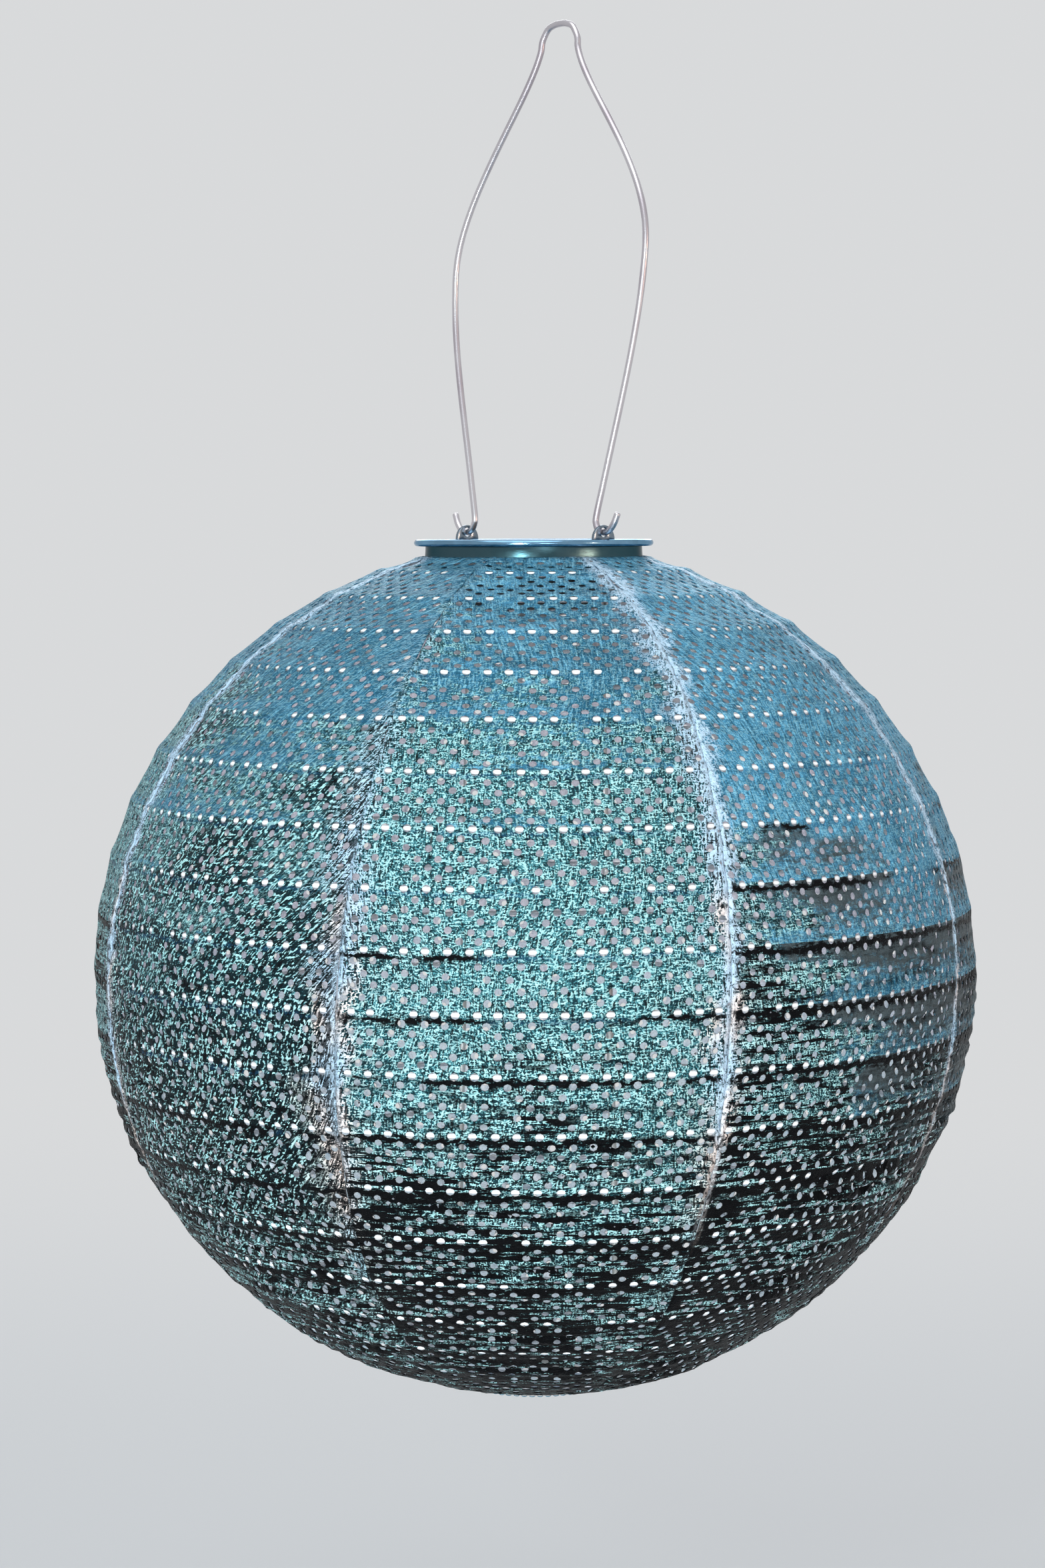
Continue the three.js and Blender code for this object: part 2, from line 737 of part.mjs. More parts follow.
function makeSwitchBody() {
  const body = block(
    switchBodyLength, switchBodyWidth, floorInside + seatGap, switchTop, 0, switchOffset,
  );
  const track = block(
    knobStem + switchTravel + 2 * slideClearance, knobStemWidth + 2 * slideClearance,
    floorInside, floorInside + seatGap + knobStemReach + slideClearance, 0, switchOffset,
  );
  return part('switch_body', carve(body, { cut: [track] }), blackPlastic);
}

// The knob rests at one end of its track, which is off.
function makeSwitchKnob() {
  const off = -switchTravel / 2;
  const top = floorOutside - slideClearance;
  const grip = block(knobLength, knobWidth, top - knobHeight, top, off, switchOffset);
  const stem = block(
    knobStem, knobStemWidth, top - knobHeight / 2, floorInside + seatGap + knobStemReach,
    off, switchOffset,
  );
  const pitch = knobLength / (knobRidges + 1);
  const grooves = Array.from({ length: knobRidges }, (_, i) => block(
    knobRidge, knobWidth + 1, top - knobHeight - 1, top - knobHeight + knobRidge,
    off + pitch * (i + 1) - knobLength / 2, switchOffset,
  ));
  return part('switch_knob', carve(grip, { join: [stem], cut: grooves }), blackPlastic);
}

function makeBoard() {
  const board = block(
    boardWidth, boardLength, boardBottom, boardBottom + boardThickness, 0, boardOffset,
  );
  const top = boardBottom + boardThickness;
  const chips = [-chipSpread, chipSpread].map((x) => block(
    chipSide, chipSide, top - boardThickness / 2, top + chipHeight, x, boardOffset - x / 2,
  ));
  return part('circuit_board', carve(board, { join: chips }), boardGreen);
}

function makeLed() {
  const top = boardBottom - seatGap;
  return part('led', revolve([
    ...arc(0, top - ledFlangeHeight - ledBarrel, ledRadius, -90, 0, 4),
    [ledRadius, top - ledFlangeHeight],
    [ledRadius + ledFlange, top - ledFlangeHeight],
    [ledRadius + ledFlange, top],
    [0, top],
  ], screwSides), ledClear);
}

function makeLens() {
  const top = floorOutside - seatGap;
  const spring = top - lensSkirt;
  return part('led_lens', revolve([
    ...arc(0, spring, lensRadius, -90, 0, 4),
    [lensRadius, top - lensFlange],
    [lensRadius + lensFlange, top - lensFlange],
    [lensRadius + lensFlange, top],
    [lensRadius - lensWall, top],
    ...arc(0, spring, lensRadius - lensWall, 0, -90, 4),
  ], lensFacets), lensFrosted);
}

// ---------- Assembly ----------

const lean = radians(bailLean);
const earLine = [0, -bailHeight * Math.sin(lean), -bailHeight * Math.cos(lean)];

const bailGroup = new THREE.Group();
bailGroup.position.set(...earLine);
bailGroup.rotation.x = -lean;
bailGroup.add(makeBail());

const lampUnit = new THREE.Group();
lampUnit.add(
  makeCap(), makeWindow(), makeSolarCell(), makeGasket(), makeHousing(), ...makeHousingScrews(),
  makeBatteryDoor(), makeDoorScrew(), makeBattery(), ...makeContacts(), makeSwitchBody(),
  makeSwitchKnob(), makeBoard(), makeLed(), makeLens(),
);

const neck = new THREE.Group();
neck.position.z = rimHeight;
neck.add(makeRim(), makeNeckBand(), makeHemRing(), lampUnit);

const globe = new THREE.Group();
globe.position.set(earLine[0], earLine[1], earLine[2] - earHoleHeight - rimHeight);
globe.add(...makeGores(), makePatch(), ...makeHoops(), makeStretcher(), neck);

const lantern = new THREE.Group();
lantern.add(bailGroup, globe);

export default lantern;
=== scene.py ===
import math

import bpy
import numpy as np
from mathutils import Matrix, Vector


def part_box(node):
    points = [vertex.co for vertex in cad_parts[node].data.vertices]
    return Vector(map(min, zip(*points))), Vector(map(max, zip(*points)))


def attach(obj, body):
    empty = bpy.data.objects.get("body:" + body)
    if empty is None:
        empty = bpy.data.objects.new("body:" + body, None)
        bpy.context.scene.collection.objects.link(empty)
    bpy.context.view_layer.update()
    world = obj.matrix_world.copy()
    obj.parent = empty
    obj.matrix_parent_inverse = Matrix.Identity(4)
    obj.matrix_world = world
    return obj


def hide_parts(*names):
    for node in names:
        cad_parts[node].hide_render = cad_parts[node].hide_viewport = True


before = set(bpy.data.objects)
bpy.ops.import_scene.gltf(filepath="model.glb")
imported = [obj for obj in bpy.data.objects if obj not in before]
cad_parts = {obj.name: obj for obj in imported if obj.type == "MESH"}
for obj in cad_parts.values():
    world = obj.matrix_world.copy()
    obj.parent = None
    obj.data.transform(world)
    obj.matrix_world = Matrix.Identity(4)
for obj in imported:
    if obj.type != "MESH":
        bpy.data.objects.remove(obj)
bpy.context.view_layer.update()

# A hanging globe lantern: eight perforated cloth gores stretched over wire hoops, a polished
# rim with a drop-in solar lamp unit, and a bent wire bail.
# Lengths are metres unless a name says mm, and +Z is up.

MM = 0.001

# ---------- Places and sizes, taken from the frame ----------

GORES = [f"gore_{k}" for k in range(1, 9)]
HOOPS = [f"hoop_{k:02d}" for k in range(1, 21)]
HOOPS_SHOWN = [f"hoop_wire_{k:02d}" for k in range(1, len(HOOPS) + 1)]
GORE_TURN = 2 * math.pi / len(GORES)


def node_centre(node):
    low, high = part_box(node)
    return (low + high) / 2


def node_size(node):
    low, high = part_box(node)
    return high - low


HOOP_WIRE = 1.8 * MM
EAR_HEIGHT = 4.8 * MM  # above the top of the rim
EAR_LINE_HEIGHT = 2.4 * MM
CLOTH_TO_HOOP = 2.0 * MM  # from a hoop's middle to the ideal globe

axis_xy = node_centre("hoop_10").xy
rim_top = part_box("rim")[1].z - EAR_HEIGHT
ear_line = Vector((0, axis_xy.y, rim_top + EAR_LINE_HEIGHT))
hoop_radii = np.array([node_size(n).x / 2 - HOOP_WIRE / 2 for n in HOOPS])
hoop_heights = np.array([node_centre(n).z for n in HOOPS])
globe_radius = 150 * MM
globe_half_height = 145 * MM
globe_centre_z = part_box("bottom_patch")[0].z + globe_half_height
hem_radius = 38.18 * MM
patch_radius = 24 * MM


# ---------- Node helpers ----------


class Tree:
    """Short ways to add nodes to one node tree."""

    def __init__(self, tree):
        self.nodes, self.links = tree.nodes, tree.links

    def add(self, kind, **values):
        node = self.nodes.new(kind)
        for name, value in values.items():
            setattr(node, name, value)
        return node

    def put(self, socket, value):
        if isinstance(value, bpy.types.NodeSocket):
            self.links.new(value, socket)
        else:
            socket.default_value = value

    def fed(self, kind, sockets, **values):
        """The outputs of a new node, with a link or a value in each socket that is given."""
        node = self.add(kind, **values)
        for socket, value in sockets.items():
            self.put(node.inputs[socket], value)
        return node.outputs

    def math(self, operation, a, b=0.0, c=0.0, clamp=False):
        sockets = {0: a, 1: b, 2: c}
        return self.fed("ShaderNodeMath", sockets, operation=operation, use_clamp=clamp)[0]

    def plus(self, a, b):
        return self.math("ADD", a, b)

    def minus(self, a, b, clamp=False):
        return self.math("SUBTRACT", a, b, clamp=clamp)

    def times(self, a, b, clamp=False):
        return self.math("MULTIPLY", a, b, clamp=clamp)

    def scaled(self, value, by, plus):
        return self.math("MULTIPLY_ADD", value, by, plus)

    def most(self, a, b):
        return self.math("MAXIMUM", a, b)

    def between(self, share, a, b):
        return self.scaled(share, self.minus(b, a), a)

    def ramp(self, value, low, high, out_low=0.0, out_high=1.0):
        """A smooth step from low to high."""
        return self.fed("ShaderNodeMapRange", {
            "Value": value, "From Min": low, "From Max": high,
            "To Min": out_low, "To Max": out_high,
        }, interpolation_type="SMOOTHSTEP")["Result"]

    def mix(self, share, a, b):
        return self.fed("ShaderNodeMix", {0: share, 6: a, 7: b}, data_type="RGBA")[2]

    def shader_mix(self, share, a, b):
        return self.fed("ShaderNodeMixShader", {0: share, 1: a, 2: b})[0]

    def noise(self, place, scale, detail=2.0, rough=0.5, distortion=0.0):
        return self.fed("ShaderNodeTexNoise", {
            "Vector": place, "Scale": scale, "Detail": detail, "Roughness": rough,
            "Distortion": distortion,
        })["Fac"]

    def streaks(self, flat, across, along, *character):
        """Noise with a scale of its own across and along the flat cloth."""
        stretched = self.fed("ShaderNodeMapping", {"Vector": flat, "Scale": (across, along, 1)})
        return self.noise(stretched[0], 1.0, *character)

    def split(self, place):
        return self.fed("ShaderNodeSeparateXYZ", {0: place})

    def bump(self, height, distance, strength, over=None):
        """A normal from a height, on top of another bump's normal if one is given."""
        sockets = {"Height": height, "Distance": distance, "Strength": strength}
        if over is not None:
            sockets["Normal"] = over
        return self.fed("ShaderNodeBump", sockets)["Normal"]

    def attribute(self, name):
        return self.add("ShaderNodeAttribute", attribute_name=name).outputs["Fac"]

    def flat_place(self, name):
        """Place on the flat cloth, in millimetres across and along."""
        return self.add("ShaderNodeUVMap", uv_map=name).outputs[0]

    def object_place(self):
        return self.add("ShaderNodeTexCoord").outputs["Object"]

    def effect(self, name, place, **values):
        """Places a shared effect, with values for its named inputs."""
        node = self.add("ShaderNodeGroup", node_tree=effects[name])
        self.put(node.inputs["Place"], place)
        for label, value in values.items():
            self.put(node.inputs[label.replace("_", " ").capitalize()], value)
        return node.outputs

    def seen_directly(self):
        """One for rays that show the background, zero for rays that light the object."""
        ray = self.add("ShaderNodeLightPath").outputs
        shown = self.most(ray["Is Camera Ray"], ray["Is Glossy Ray"])
        return self.most(shown, ray["Is Transmission Ray"])


class Finish(Tree):
    """A Principled material with the given sockets set, and ways to feed its other ones."""

    def __init__(self, name, **plain):
        self.material = bpy.data.materials.new(name)
        self.material.use_nodes = True
        super().__init__(self.material.node_tree)
        self.shader = self.nodes["Principled BSDF"]
        for label, value in plain.items():
            self.shader.inputs[label.replace("_", " ")].default_value = value

    def feed(self, colour, rough=None, normal=None):
        """Feeds the shader what changes over the surface, and gives the material."""
        for label, value in (("Base Color", colour), ("Roughness", rough), ("Normal", normal)):
            if value is not None:
                self.put(self.shader.inputs[label], value)
        return self.material


# ---------- Camera, light and ground ----------

LENS_MM = 86.4
SENSOR_MM = 36
CAMERA_AZIMUTH = 47.85
CAMERA_DISTANCE = 1.275
CAMERA_HEIGHT = -0.165
CAMERA_PITCH = -4.05
CAMERA_YAW = 0.18
CAMERA_ROLL = -0.15
CAMERA_REACH = (0.05, 60)  # the nearest and furthest things it shows


def in_scene(name, data):
    """A new object, linked to the scene."""
    made = bpy.data.objects.new(name, data)
    bpy.context.scene.collection.objects.link(made)
    return made


def make_camera():
    turn, yaw, pitch, roll = map(
        math.radians, (CAMERA_AZIMUTH, CAMERA_YAW, CAMERA_PITCH, CAMERA_ROLL)
    )
    place = Vector((
        math.sin(turn) * CAMERA_DISTANCE,
        axis_xy.y - math.cos(turn) * CAMERA_DISTANCE,
        CAMERA_HEIGHT,
    ))
    ahead = Vector((-math.sin(turn), math.cos(turn), 0))
    ahead.rotate(Matrix.Rotation(yaw, 3, "Z"))
    right = Vector((ahead.y, -ahead.x, 0))
    look = ahead * math.cos(pitch) + Vector((0, 0, math.sin(pitch)))
    up = right.cross(look)
    right, up = (
        right * math.cos(roll) + up * math.sin(roll),
        up * math.cos(roll) - right * math.sin(roll),
    )
    data = bpy.data.cameras.new("camera")
    data.lens = LENS_MM
    data.sensor_width = SENSOR_MM
    data.clip_start, data.clip_end = CAMERA_REACH
    camera = in_scene("camera", data)
    camera.matrix_world = Matrix((
        (right.x, up.x, -look.x, place.x),
        (right.y, up.y, -look.y, place.y),
        (right.z, up.z, -look.z, place.z),
        (0, 0, 0, 1),
    ))
    bpy.context.scene.camera = camera


# By lamp: its place, its width, its power in watts, its colour, the spread of its beam in
# degrees, and how far under the globe's middle it is aimed
LAMPS = {
    "softbox_over": ((0.25, -0.55, 1.15), 1.5, 11.6, (0.96, 0.98, 1.0), 180, 0),
    "softbox_front": ((1.70, -1.00, -0.30), 0.55, 1.0, (1.0, 0.99, 0.97), 110, 0),
    "softbox_back": ((-1.3, 1.2, 0.5), 1.1, 9.0, (0.95, 0.98, 1.0), 180, 0),
    "softbox_low": ((0.62, -0.95, -0.50), 0.24, 1.35, (0.90, 0.97, 1.0), 80, 0.10),
    "spot_left": ((0.90, -1.33, 0.13), 0.13, 4.4, (0.86, 1.0, 0.97), 180, 0),
    "spot_right": ((1.53, 0.45, 0.02), 0.12, 3.4, (1.0, 0.62, 0.42), 180, 0),
}


def make_lamp(name, place, width, power, colour, spread, under_middle):
    data = bpy.data.lights.new(name, "AREA")
    data.shape = "DISK"
    data.size = width
    data.spread = math.radians(spread)
    data.energy = power
    data.color = colour
    aim = Vector((0, axis_xy.y, globe_centre_z - under_middle))
    lamp = in_scene(name, data)
    lamp.location = place
    lamp.rotation_mode = "QUATERNION"
    lamp.rotation_quaternion = (aim - Vector(place)).to_track_quat("-Z", "Y")


BACKDROP = (0.69, 0.70, 0.71, 1)
SKY_LIGHT = (0.50, 0.53, 0.56, 1)
GROUND_LIGHT = (0.32, 0.335, 0.355, 1)
SKY_FADE = (-0.6, 0.5)  # from ground to sky, by the height of a direction


def make_world():
    """Soft overcast light, with a plain backdrop where it is seen directly."""
    world = bpy.data.worlds.new("studio")
    world.use_nodes = True
    world.node_tree.nodes.clear()
    t = Tree(world.node_tree)
    height = t.split(t.add("ShaderNodeTexCoord").outputs["Generated"])[2]
    tone = t.mix(t.ramp(height, *SKY_FADE), GROUND_LIGHT, SKY_LIGHT)
    light = t.fed("ShaderNodeBackground", {"Color": tone})[0]
    backdrop = t.fed("ShaderNodeBackground", {"Color": BACKDROP})[0]
    t.fed("ShaderNodeOutputWorld", {0: t.shader_mix(t.seen_directly(), light, backdrop)})
    bpy.context.scene.world = world


FLOOR_HEIGHT = -0.64
FLOOR_RADIUS = 14.0
FLOOR_FADE = (0.35, 1.9)  # distances at which it begins and ends to fade into the backdrop
FLOOR_SHADE = (0.62, 0.63, 0.64, 1)
FLOOR_BOUNCE = (0.84, 0.88, 0.93, 1)


def floor_material():
    """Matt and pale, and like the backdrop away from the lantern."""
    material = bpy.data.materials.new("studio_floor")
    material.use_nodes = True
    material.node_tree.nodes.clear()
    t = Tree(material.node_tree)
    direct = t.seen_directly()
    matt = t.fed("ShaderNodeBsdfDiffuse", {"Color": t.mix(direct, FLOOR_BOUNCE, FLOOR_SHADE)})[0]
    far = t.fed("ShaderNodeEmission", {"Color": BACKDROP})[0]
    away = t.fed("ShaderNodeVectorMath", {0: t.object_place()}, operation="LENGTH")["Value"]
    shown = t.times(t.ramp(away, *FLOOR_FADE), direct)
    t.fed("ShaderNodeOutputMaterial", {0: t.shader_mix(shown, matt, far)})
    return material


def make_floor():
    mesh = bpy.data.meshes.new("floor")
    ring = level_ring(FLOOR_RADIUS, FLOOR_HEIGHT, full_turn(96))
    mesh.from_pydata([tuple(p) for p in ring], [], [range(len(ring))])
    mesh.materials.append(floor_material())
    floor = in_scene("floor", mesh)


def make_studio():
    make_camera()
    make_world()
    make_floor()
    for name, lamp in LAMPS.items():
        make_lamp(name, *lamp)
    bpy.context.scene.view_settings.view_transform = "Standard"


# ---------- Shared effects ----------

FLOAT, VECTOR = "NodeSocketFloat", "NodeSocketVector"


def new_group(name, inputs, outputs):
    """A shader node group, with its Tree and its input and output sockets."""
    group = bpy.data.node_groups.new(name, "ShaderNodeTree")
    group.interface.new_socket("Place", in_out="INPUT", socket_type=VECTOR)
    for label, kind, value in inputs:
        socket = group.interface.new_socket(label, in_out="INPUT", socket_type=kind)
        socket.default_value = value
    for label in outputs:
        group.interface.new_socket(label, in_out="OUTPUT", socket_type=FLOAT)
    tree = Tree(group)
    return group, tree, tree.add("NodeGroupInput").outputs, tree.add("NodeGroupOutput").inputs


def crosshatch_group():
    """Short threads of a crinkled weave: dashes along both directions of the cloth.
    Shade, from 0 to 1, lets more dark gaps through, Light more bright threads, and Level
    favours threads that run across the cloth."""
    group, t, given, out = new_group("crosshatch", [
        ("Thread", FLOAT, 0.55), ("Run", FLOAT, 4.0), ("Shade", FLOAT, 0.0),
        ("Light", FLOAT, 0.0), ("Level", FLOAT, 0.0),
    ], ["Height", "Bright", "Dark"])
    fine = t.math("DIVIDE", 1.0, given["Thread"])
    coarse = t.math("DIVIDE", fine, given["Run"])
    across, along, _ = t.split(given["Place"])

    def dashes(across_scale, along_scale, shift):
        place = t.fed("ShaderNodeCombineXYZ", {
            0: t.times(across, across_scale), 1: t.times(along, along_scale), 2: shift})
        return t.noise(place[0], 1.0, 1.0, 0.6)

    warp = dashes(fine, coarse, 3.7)
    weft = dashes(coarse, fine, 11.3)
    grain = t.times(t.minus(dashes(fine, fine, 23.9), 0.5), 0.8)
    level_run = t.scaled(given["Level"], 0.07, weft)
    high = t.plus(t.most(warp, level_run), grain)
    low = t.plus(t.math("MINIMUM", warp, weft), grain)
    t.put(out["Height"], t.times(t.plus(high, low), 0.5))
    t.put(out["Bright"], t.ramp(t.scaled(given["Light"], 0.12, high), 0.592, 0.645))
    gap = t.scaled(given["Shade"], 0.165, 0.427)
    t.put(out["Dark"], t.times(t.minus(gap, low), 24.0, clamp=True))
    return group


def grain_group():
    """Fine even grain, for moulded plastic and rubber."""
    group, t, given, out = new_group(
        "fine_grain", [("Scale", FLOAT, 900.0), ("Blotch scale", FLOAT, 60.0)],
        ["Height", "Blotch"])
    t.put(out["Height"], t.noise(given["Place"], given["Scale"], 3.0, 0.65))
    t.put(out["Blotch"], t.ramp(t.noise(given["Place"], given["Blotch scale"], 3.0), 0.35, 0.7))
    return group


def hairline_group():
    """Hairline scratches that run round a turned or drawn metal part."""
    group, t, given, out = new_group(
        "hairlines", [("Scale", FLOAT, 250.0), ("Stretch", VECTOR, (1, 1, 12))],
        ["Height", "Smear"])
    drawn_out = t.fed("ShaderNodeVectorMath", {0: given["Place"], 1: given["Stretch"]},
                      operation="MULTIPLY")[0]
    t.put(out["Height"], t.noise(drawn_out, given["Scale"], 4.0, 0.7))
    t.put(out["Smear"], t.ramp(t.noise(given["Place"], 70.0, 3.0, 0.6), 0.4, 0.68))
    return group


def dust_group():
    """Settled dust and water marks, as a mask."""
    group, t, given, out = new_group(
        "dust", [("Scale", FLOAT, 120.0), ("Amount", FLOAT, 0.3)], ["Mask"])
    cloud = t.ramp(t.noise(given["Place"], t.times(given["Scale"], 0.25), 3.0), 0.38, 0.75)
    speck = t.ramp(t.noise(given["Place"], t.times(given["Scale"], 9.0), 2.0), 0.55, 0.7)
    both = t.scaled(speck, 0.6, t.times(cloud, 0.5))
    t.put(out["Mask"], t.times(both, given["Amount"], clamp=True))
    return group


effects = {
    "crosshatch": crosshatch_group(),
    "grain": grain_group(),
    "hairlines": hairline_group(),
    "dust": dust_group(),
}


# ---------- Materials ----------

STEEL_BLUE = (0.030, 0.168, 0.285, 1)
SHEEN_BLUE = (0.090, 0.345, 0.550, 1)
RIB_SHADE_BLUE = (0.022, 0.110, 0.185, 1)
RIB_HIGHLIGHT_BLUE = (0.210, 0.520, 0.700, 1)
HOLLOW_SHADE_TAUPE = (0.066, 0.083, 0.088, 1)
HOOP_SHADOW_BLUE = (0.018, 0.105, 0.230, 1)
TURQUOISE = (0.066, 0.240, 0.275, 1)
DEEP_TEAL = (0.008, 0.030, 0.040, 1)
CHARCOAL = (0.003, 0.0035, 0.0045, 1)
THREAD_LIGHT = (0.44, 0.77, 0.78, 1)
SEAM_HIGHLIGHT_BLUE = (0.55, 0.75, 0.92, 1)
SEAM_HIGHLIGHT_ROSE = (0.96, 0.82, 0.76, 1)
LINING_LILAC = (0.56, 0.50, 0.60, 1)
LINING_SKYLIT_BLUE = (0.60, 0.80, 1.0, 1)
LINING_SHADOW = (0.060, 0.068, 0.078, 1)
METAL_DUST = (0.36, 0.35, 0.32, 1)
GREY_DUST = (0.20, 0.19, 0.17, 1)
COAT_WHITE = (1.0, 1.0, 1.0, 1)
COAT_DULL = (0.9755, 0.979, 0.9825, 1)
RUBBED_COAT = (0.62, 0.60, 0.57, 1)
PLASTIC_BLACK = (0.012, 0.013, 0.015, 1)
PLASTIC_WORN = (0.024, 0.025, 0.027, 1)
RUBBER_BLACK = (0.014, 0.014, 0.015, 1)
RUBBER_GREY = (0.035, 0.034, 0.033, 1)
FROST = (0.86, 0.88, 0.90, 1)
FROST_PALE = (0.92, 0.93, 0.94, 1)
COVER_CLEAR = (0.96, 0.98, 0.99, 1)
COVER_DUST = (0.80, 0.78, 0.74, 1)
SLEEVE_GREEN = (0.030, 0.165, 0.060, 1)
SLEEVE_PALE = (0.045, 0.215, 0.085, 1)
SLEEVE_END = (0.50, 0.50, 0.48, 1)
SLEEVE_HALF_LENGTH = 12.8 * MM  # of its green part
CELL_BLUE = (0.006, 0.014, 0.050, 1)
CELL_GLINT = (0.014, 0.036, 0.110, 1)
COLLECTOR = (0.35, 0.37, 0.40, 1)
CELL_GAP = (0.015, 0.016, 0.018, 1)
COLLECTOR_PITCH, COLLECTOR_WIDTH = 1.4 * MM, 0.12 * MM
STRIP_PITCH, STRIP_GAP = 8.4 * MM, 0.7 * MM
BOARD_GREEN = (0.008, 0.075, 0.030, 1)
TRACK_GREEN = (0.018, 0.150, 0.055, 1)
TINNED = (0.62, 0.60, 0.55, 1)
RESIN = (0.95, 0.90, 0.66, 1)
RESIN_PALE = (0.98, 0.95, 0.80, 1)
THREAD_BLUE = (0.05, 0.16, 0.24, 1)
THREAD_PALE = (0.16, 0.34, 0.44, 1)


def shot_weave(t, flat, threads, lively, shade, crease, grit, sheen, seam_highlight_tone):
    """The plain cloth's colour, from smooth blue to lively turquoise thread, and its height."""
    # Painted shade: more dark gaps show in the weave where the shade share is higher, fewer in
    # the seams' crumples
    gap_share = t.times(shade, t.ramp(grit, 0.0, 1.0, 1.0, 0.4))
    across = t.scaled(shade, -0.5, t.times(crease, 1.3))
    fine = t.effect("crosshatch", threads, thread=0.58, run=4.0, shade=gap_share, light=grit,
                    level=across)
    coarse = t.effect("crosshatch", threads, thread=0.98, run=3.4, shade=gap_share, light=-0.1,
                      level=across)
    drawn = t.times(t.minus(shade, crease), 1.7, clamp=True)
    drawn = t.times(drawn, t.ramp(grit, 0.6, 0.1))
    height, dark, bright = (
        t.between(drawn, fine[part], coarse[part]) for part in ("Height", "Dark", "Bright"))
    ribs = t.streaks(threads, 1.15, 0.13, 2.0, 0.6)
    # Painted sheen: the smooth blue turns lighter in cloudy patches as the sheen share rises,
    # which is higher up and on the gores given more
    cloud = t.streaks(flat, 0.06, 0.16, 4.0, 0.65, 0.5)
    smooth_blue = t.mix(t.ramp(t.scaled(sheen, 0.35, cloud), 0.50, 0.80), STEEL_BLUE, SHEEN_BLUE)
    # Fine ribs, painted as shaded grooves and highlighted ridges
    smooth_blue = t.mix(t.ramp(ribs, 0.52, 0.62, 0.0, 0.75), smooth_blue, RIB_SHADE_BLUE)
    smooth_blue = t.mix(t.ramp(ribs, 0.45, 0.36, 0.0, 0.70), smooth_blue, RIB_HIGHLIGHT_BLUE)
    base = t.mix(lively, smooth_blue, TURQUOISE)
    gaps = t.times(dark, t.scaled(lively, 0.60, 0.36))
    # Painted shade: the weave's gaps turn from deep teal to black as the shade share rises
    base = t.mix(gaps, base, t.mix(shade, DEEP_TEAL, CHARCOAL))
    # Painted shade in the ribs' grooves where the thread is lively
    rib_groove_shade = t.times(t.ramp(ribs, 0.54, 0.60), t.ramp(cloud, 0.46, 0.56, 0.0, 0.75))
    base = t.mix(t.times(rib_groove_shade, lively), base, DEEP_TEAL)
    # Painted light: the pale threads show more where the painted shade is deeper, lower down
    lit = t.scaled(shade, 0.30, t.scaled(lively, 0.62, 0.30))
    lights = t.times(bright, t.most(grit, lit), clamp=True)
    light = t.mix(t.times(grit, 1.6, clamp=True), THREAD_LIGHT, seam_highlight_tone)
    return t.mix(lights, base, light), height


def hoop_shadow_lines(t, flat, rows, crease):
    """Mask of the broken line of painted shadow in the crease under each hoop."""
    waver = t.streaks(flat, 0.09, 0.02, 5.0, 0.78)
    edge_at = t.scaled(waver, 0.26, 0.77)
    off_edge = t.math("ABSOLUTE", t.minus(t.math("FRACT", rows), edge_at))
    ragged = t.streaks(flat, 0.30, 0.60, 3.0, 0.7)
    half = t.times(t.scaled(crease, 0.085, 0.022), t.ramp(ragged, 0.34, 0.66, 0.10, 2.5))
    line = t.minus(1.6, t.math("DIVIDE", off_edge, half), clamp=True)
    breaks = t.streaks(flat, 0.035, 0.11, 3.0, 0.6)
    breaks = t.ramp(t.scaled(crease, 0.25, breaks), 0.42, 0.50)
    return t.times(t.times(line, breaks), t.ramp(crease, 0.0, 0.08, 0.3, 1.0))


def seam_crumple(t, flat, seam, grit, ridge):
    """Share of painted highlight on the crumpled cloth along the seams, the painted shade in the
    gaps between its strands, and its strands.
    """
    strands = t.streaks(flat, 0.85, 0.42, 3.5, 0.72, 0.4)
    blotches = t.streaks(flat, 0.20, 0.15, 2.0, 0.6)
    wide = t.times(ridge, t.ramp(blotches, 0.40, 0.60, 0.35, 1.3))
    pale = t.times(t.ramp(strands, 0.50, 0.55), t.ramp(wide, 0.22, 0.55))
    core = t.times(t.ramp(seam, 1.7, 0.9), t.ramp(strands, 0.43, 0.50, 0.1, 1.0))
    core = t.times(core, t.ramp(ridge, 0.15, 0.45))
    gaps = t.times(t.ramp(strands, 0.46, 0.41), t.ramp(grit, 0.10, 0.7, 0.0, 0.3))
    return t.most(pale, core), gaps, strands


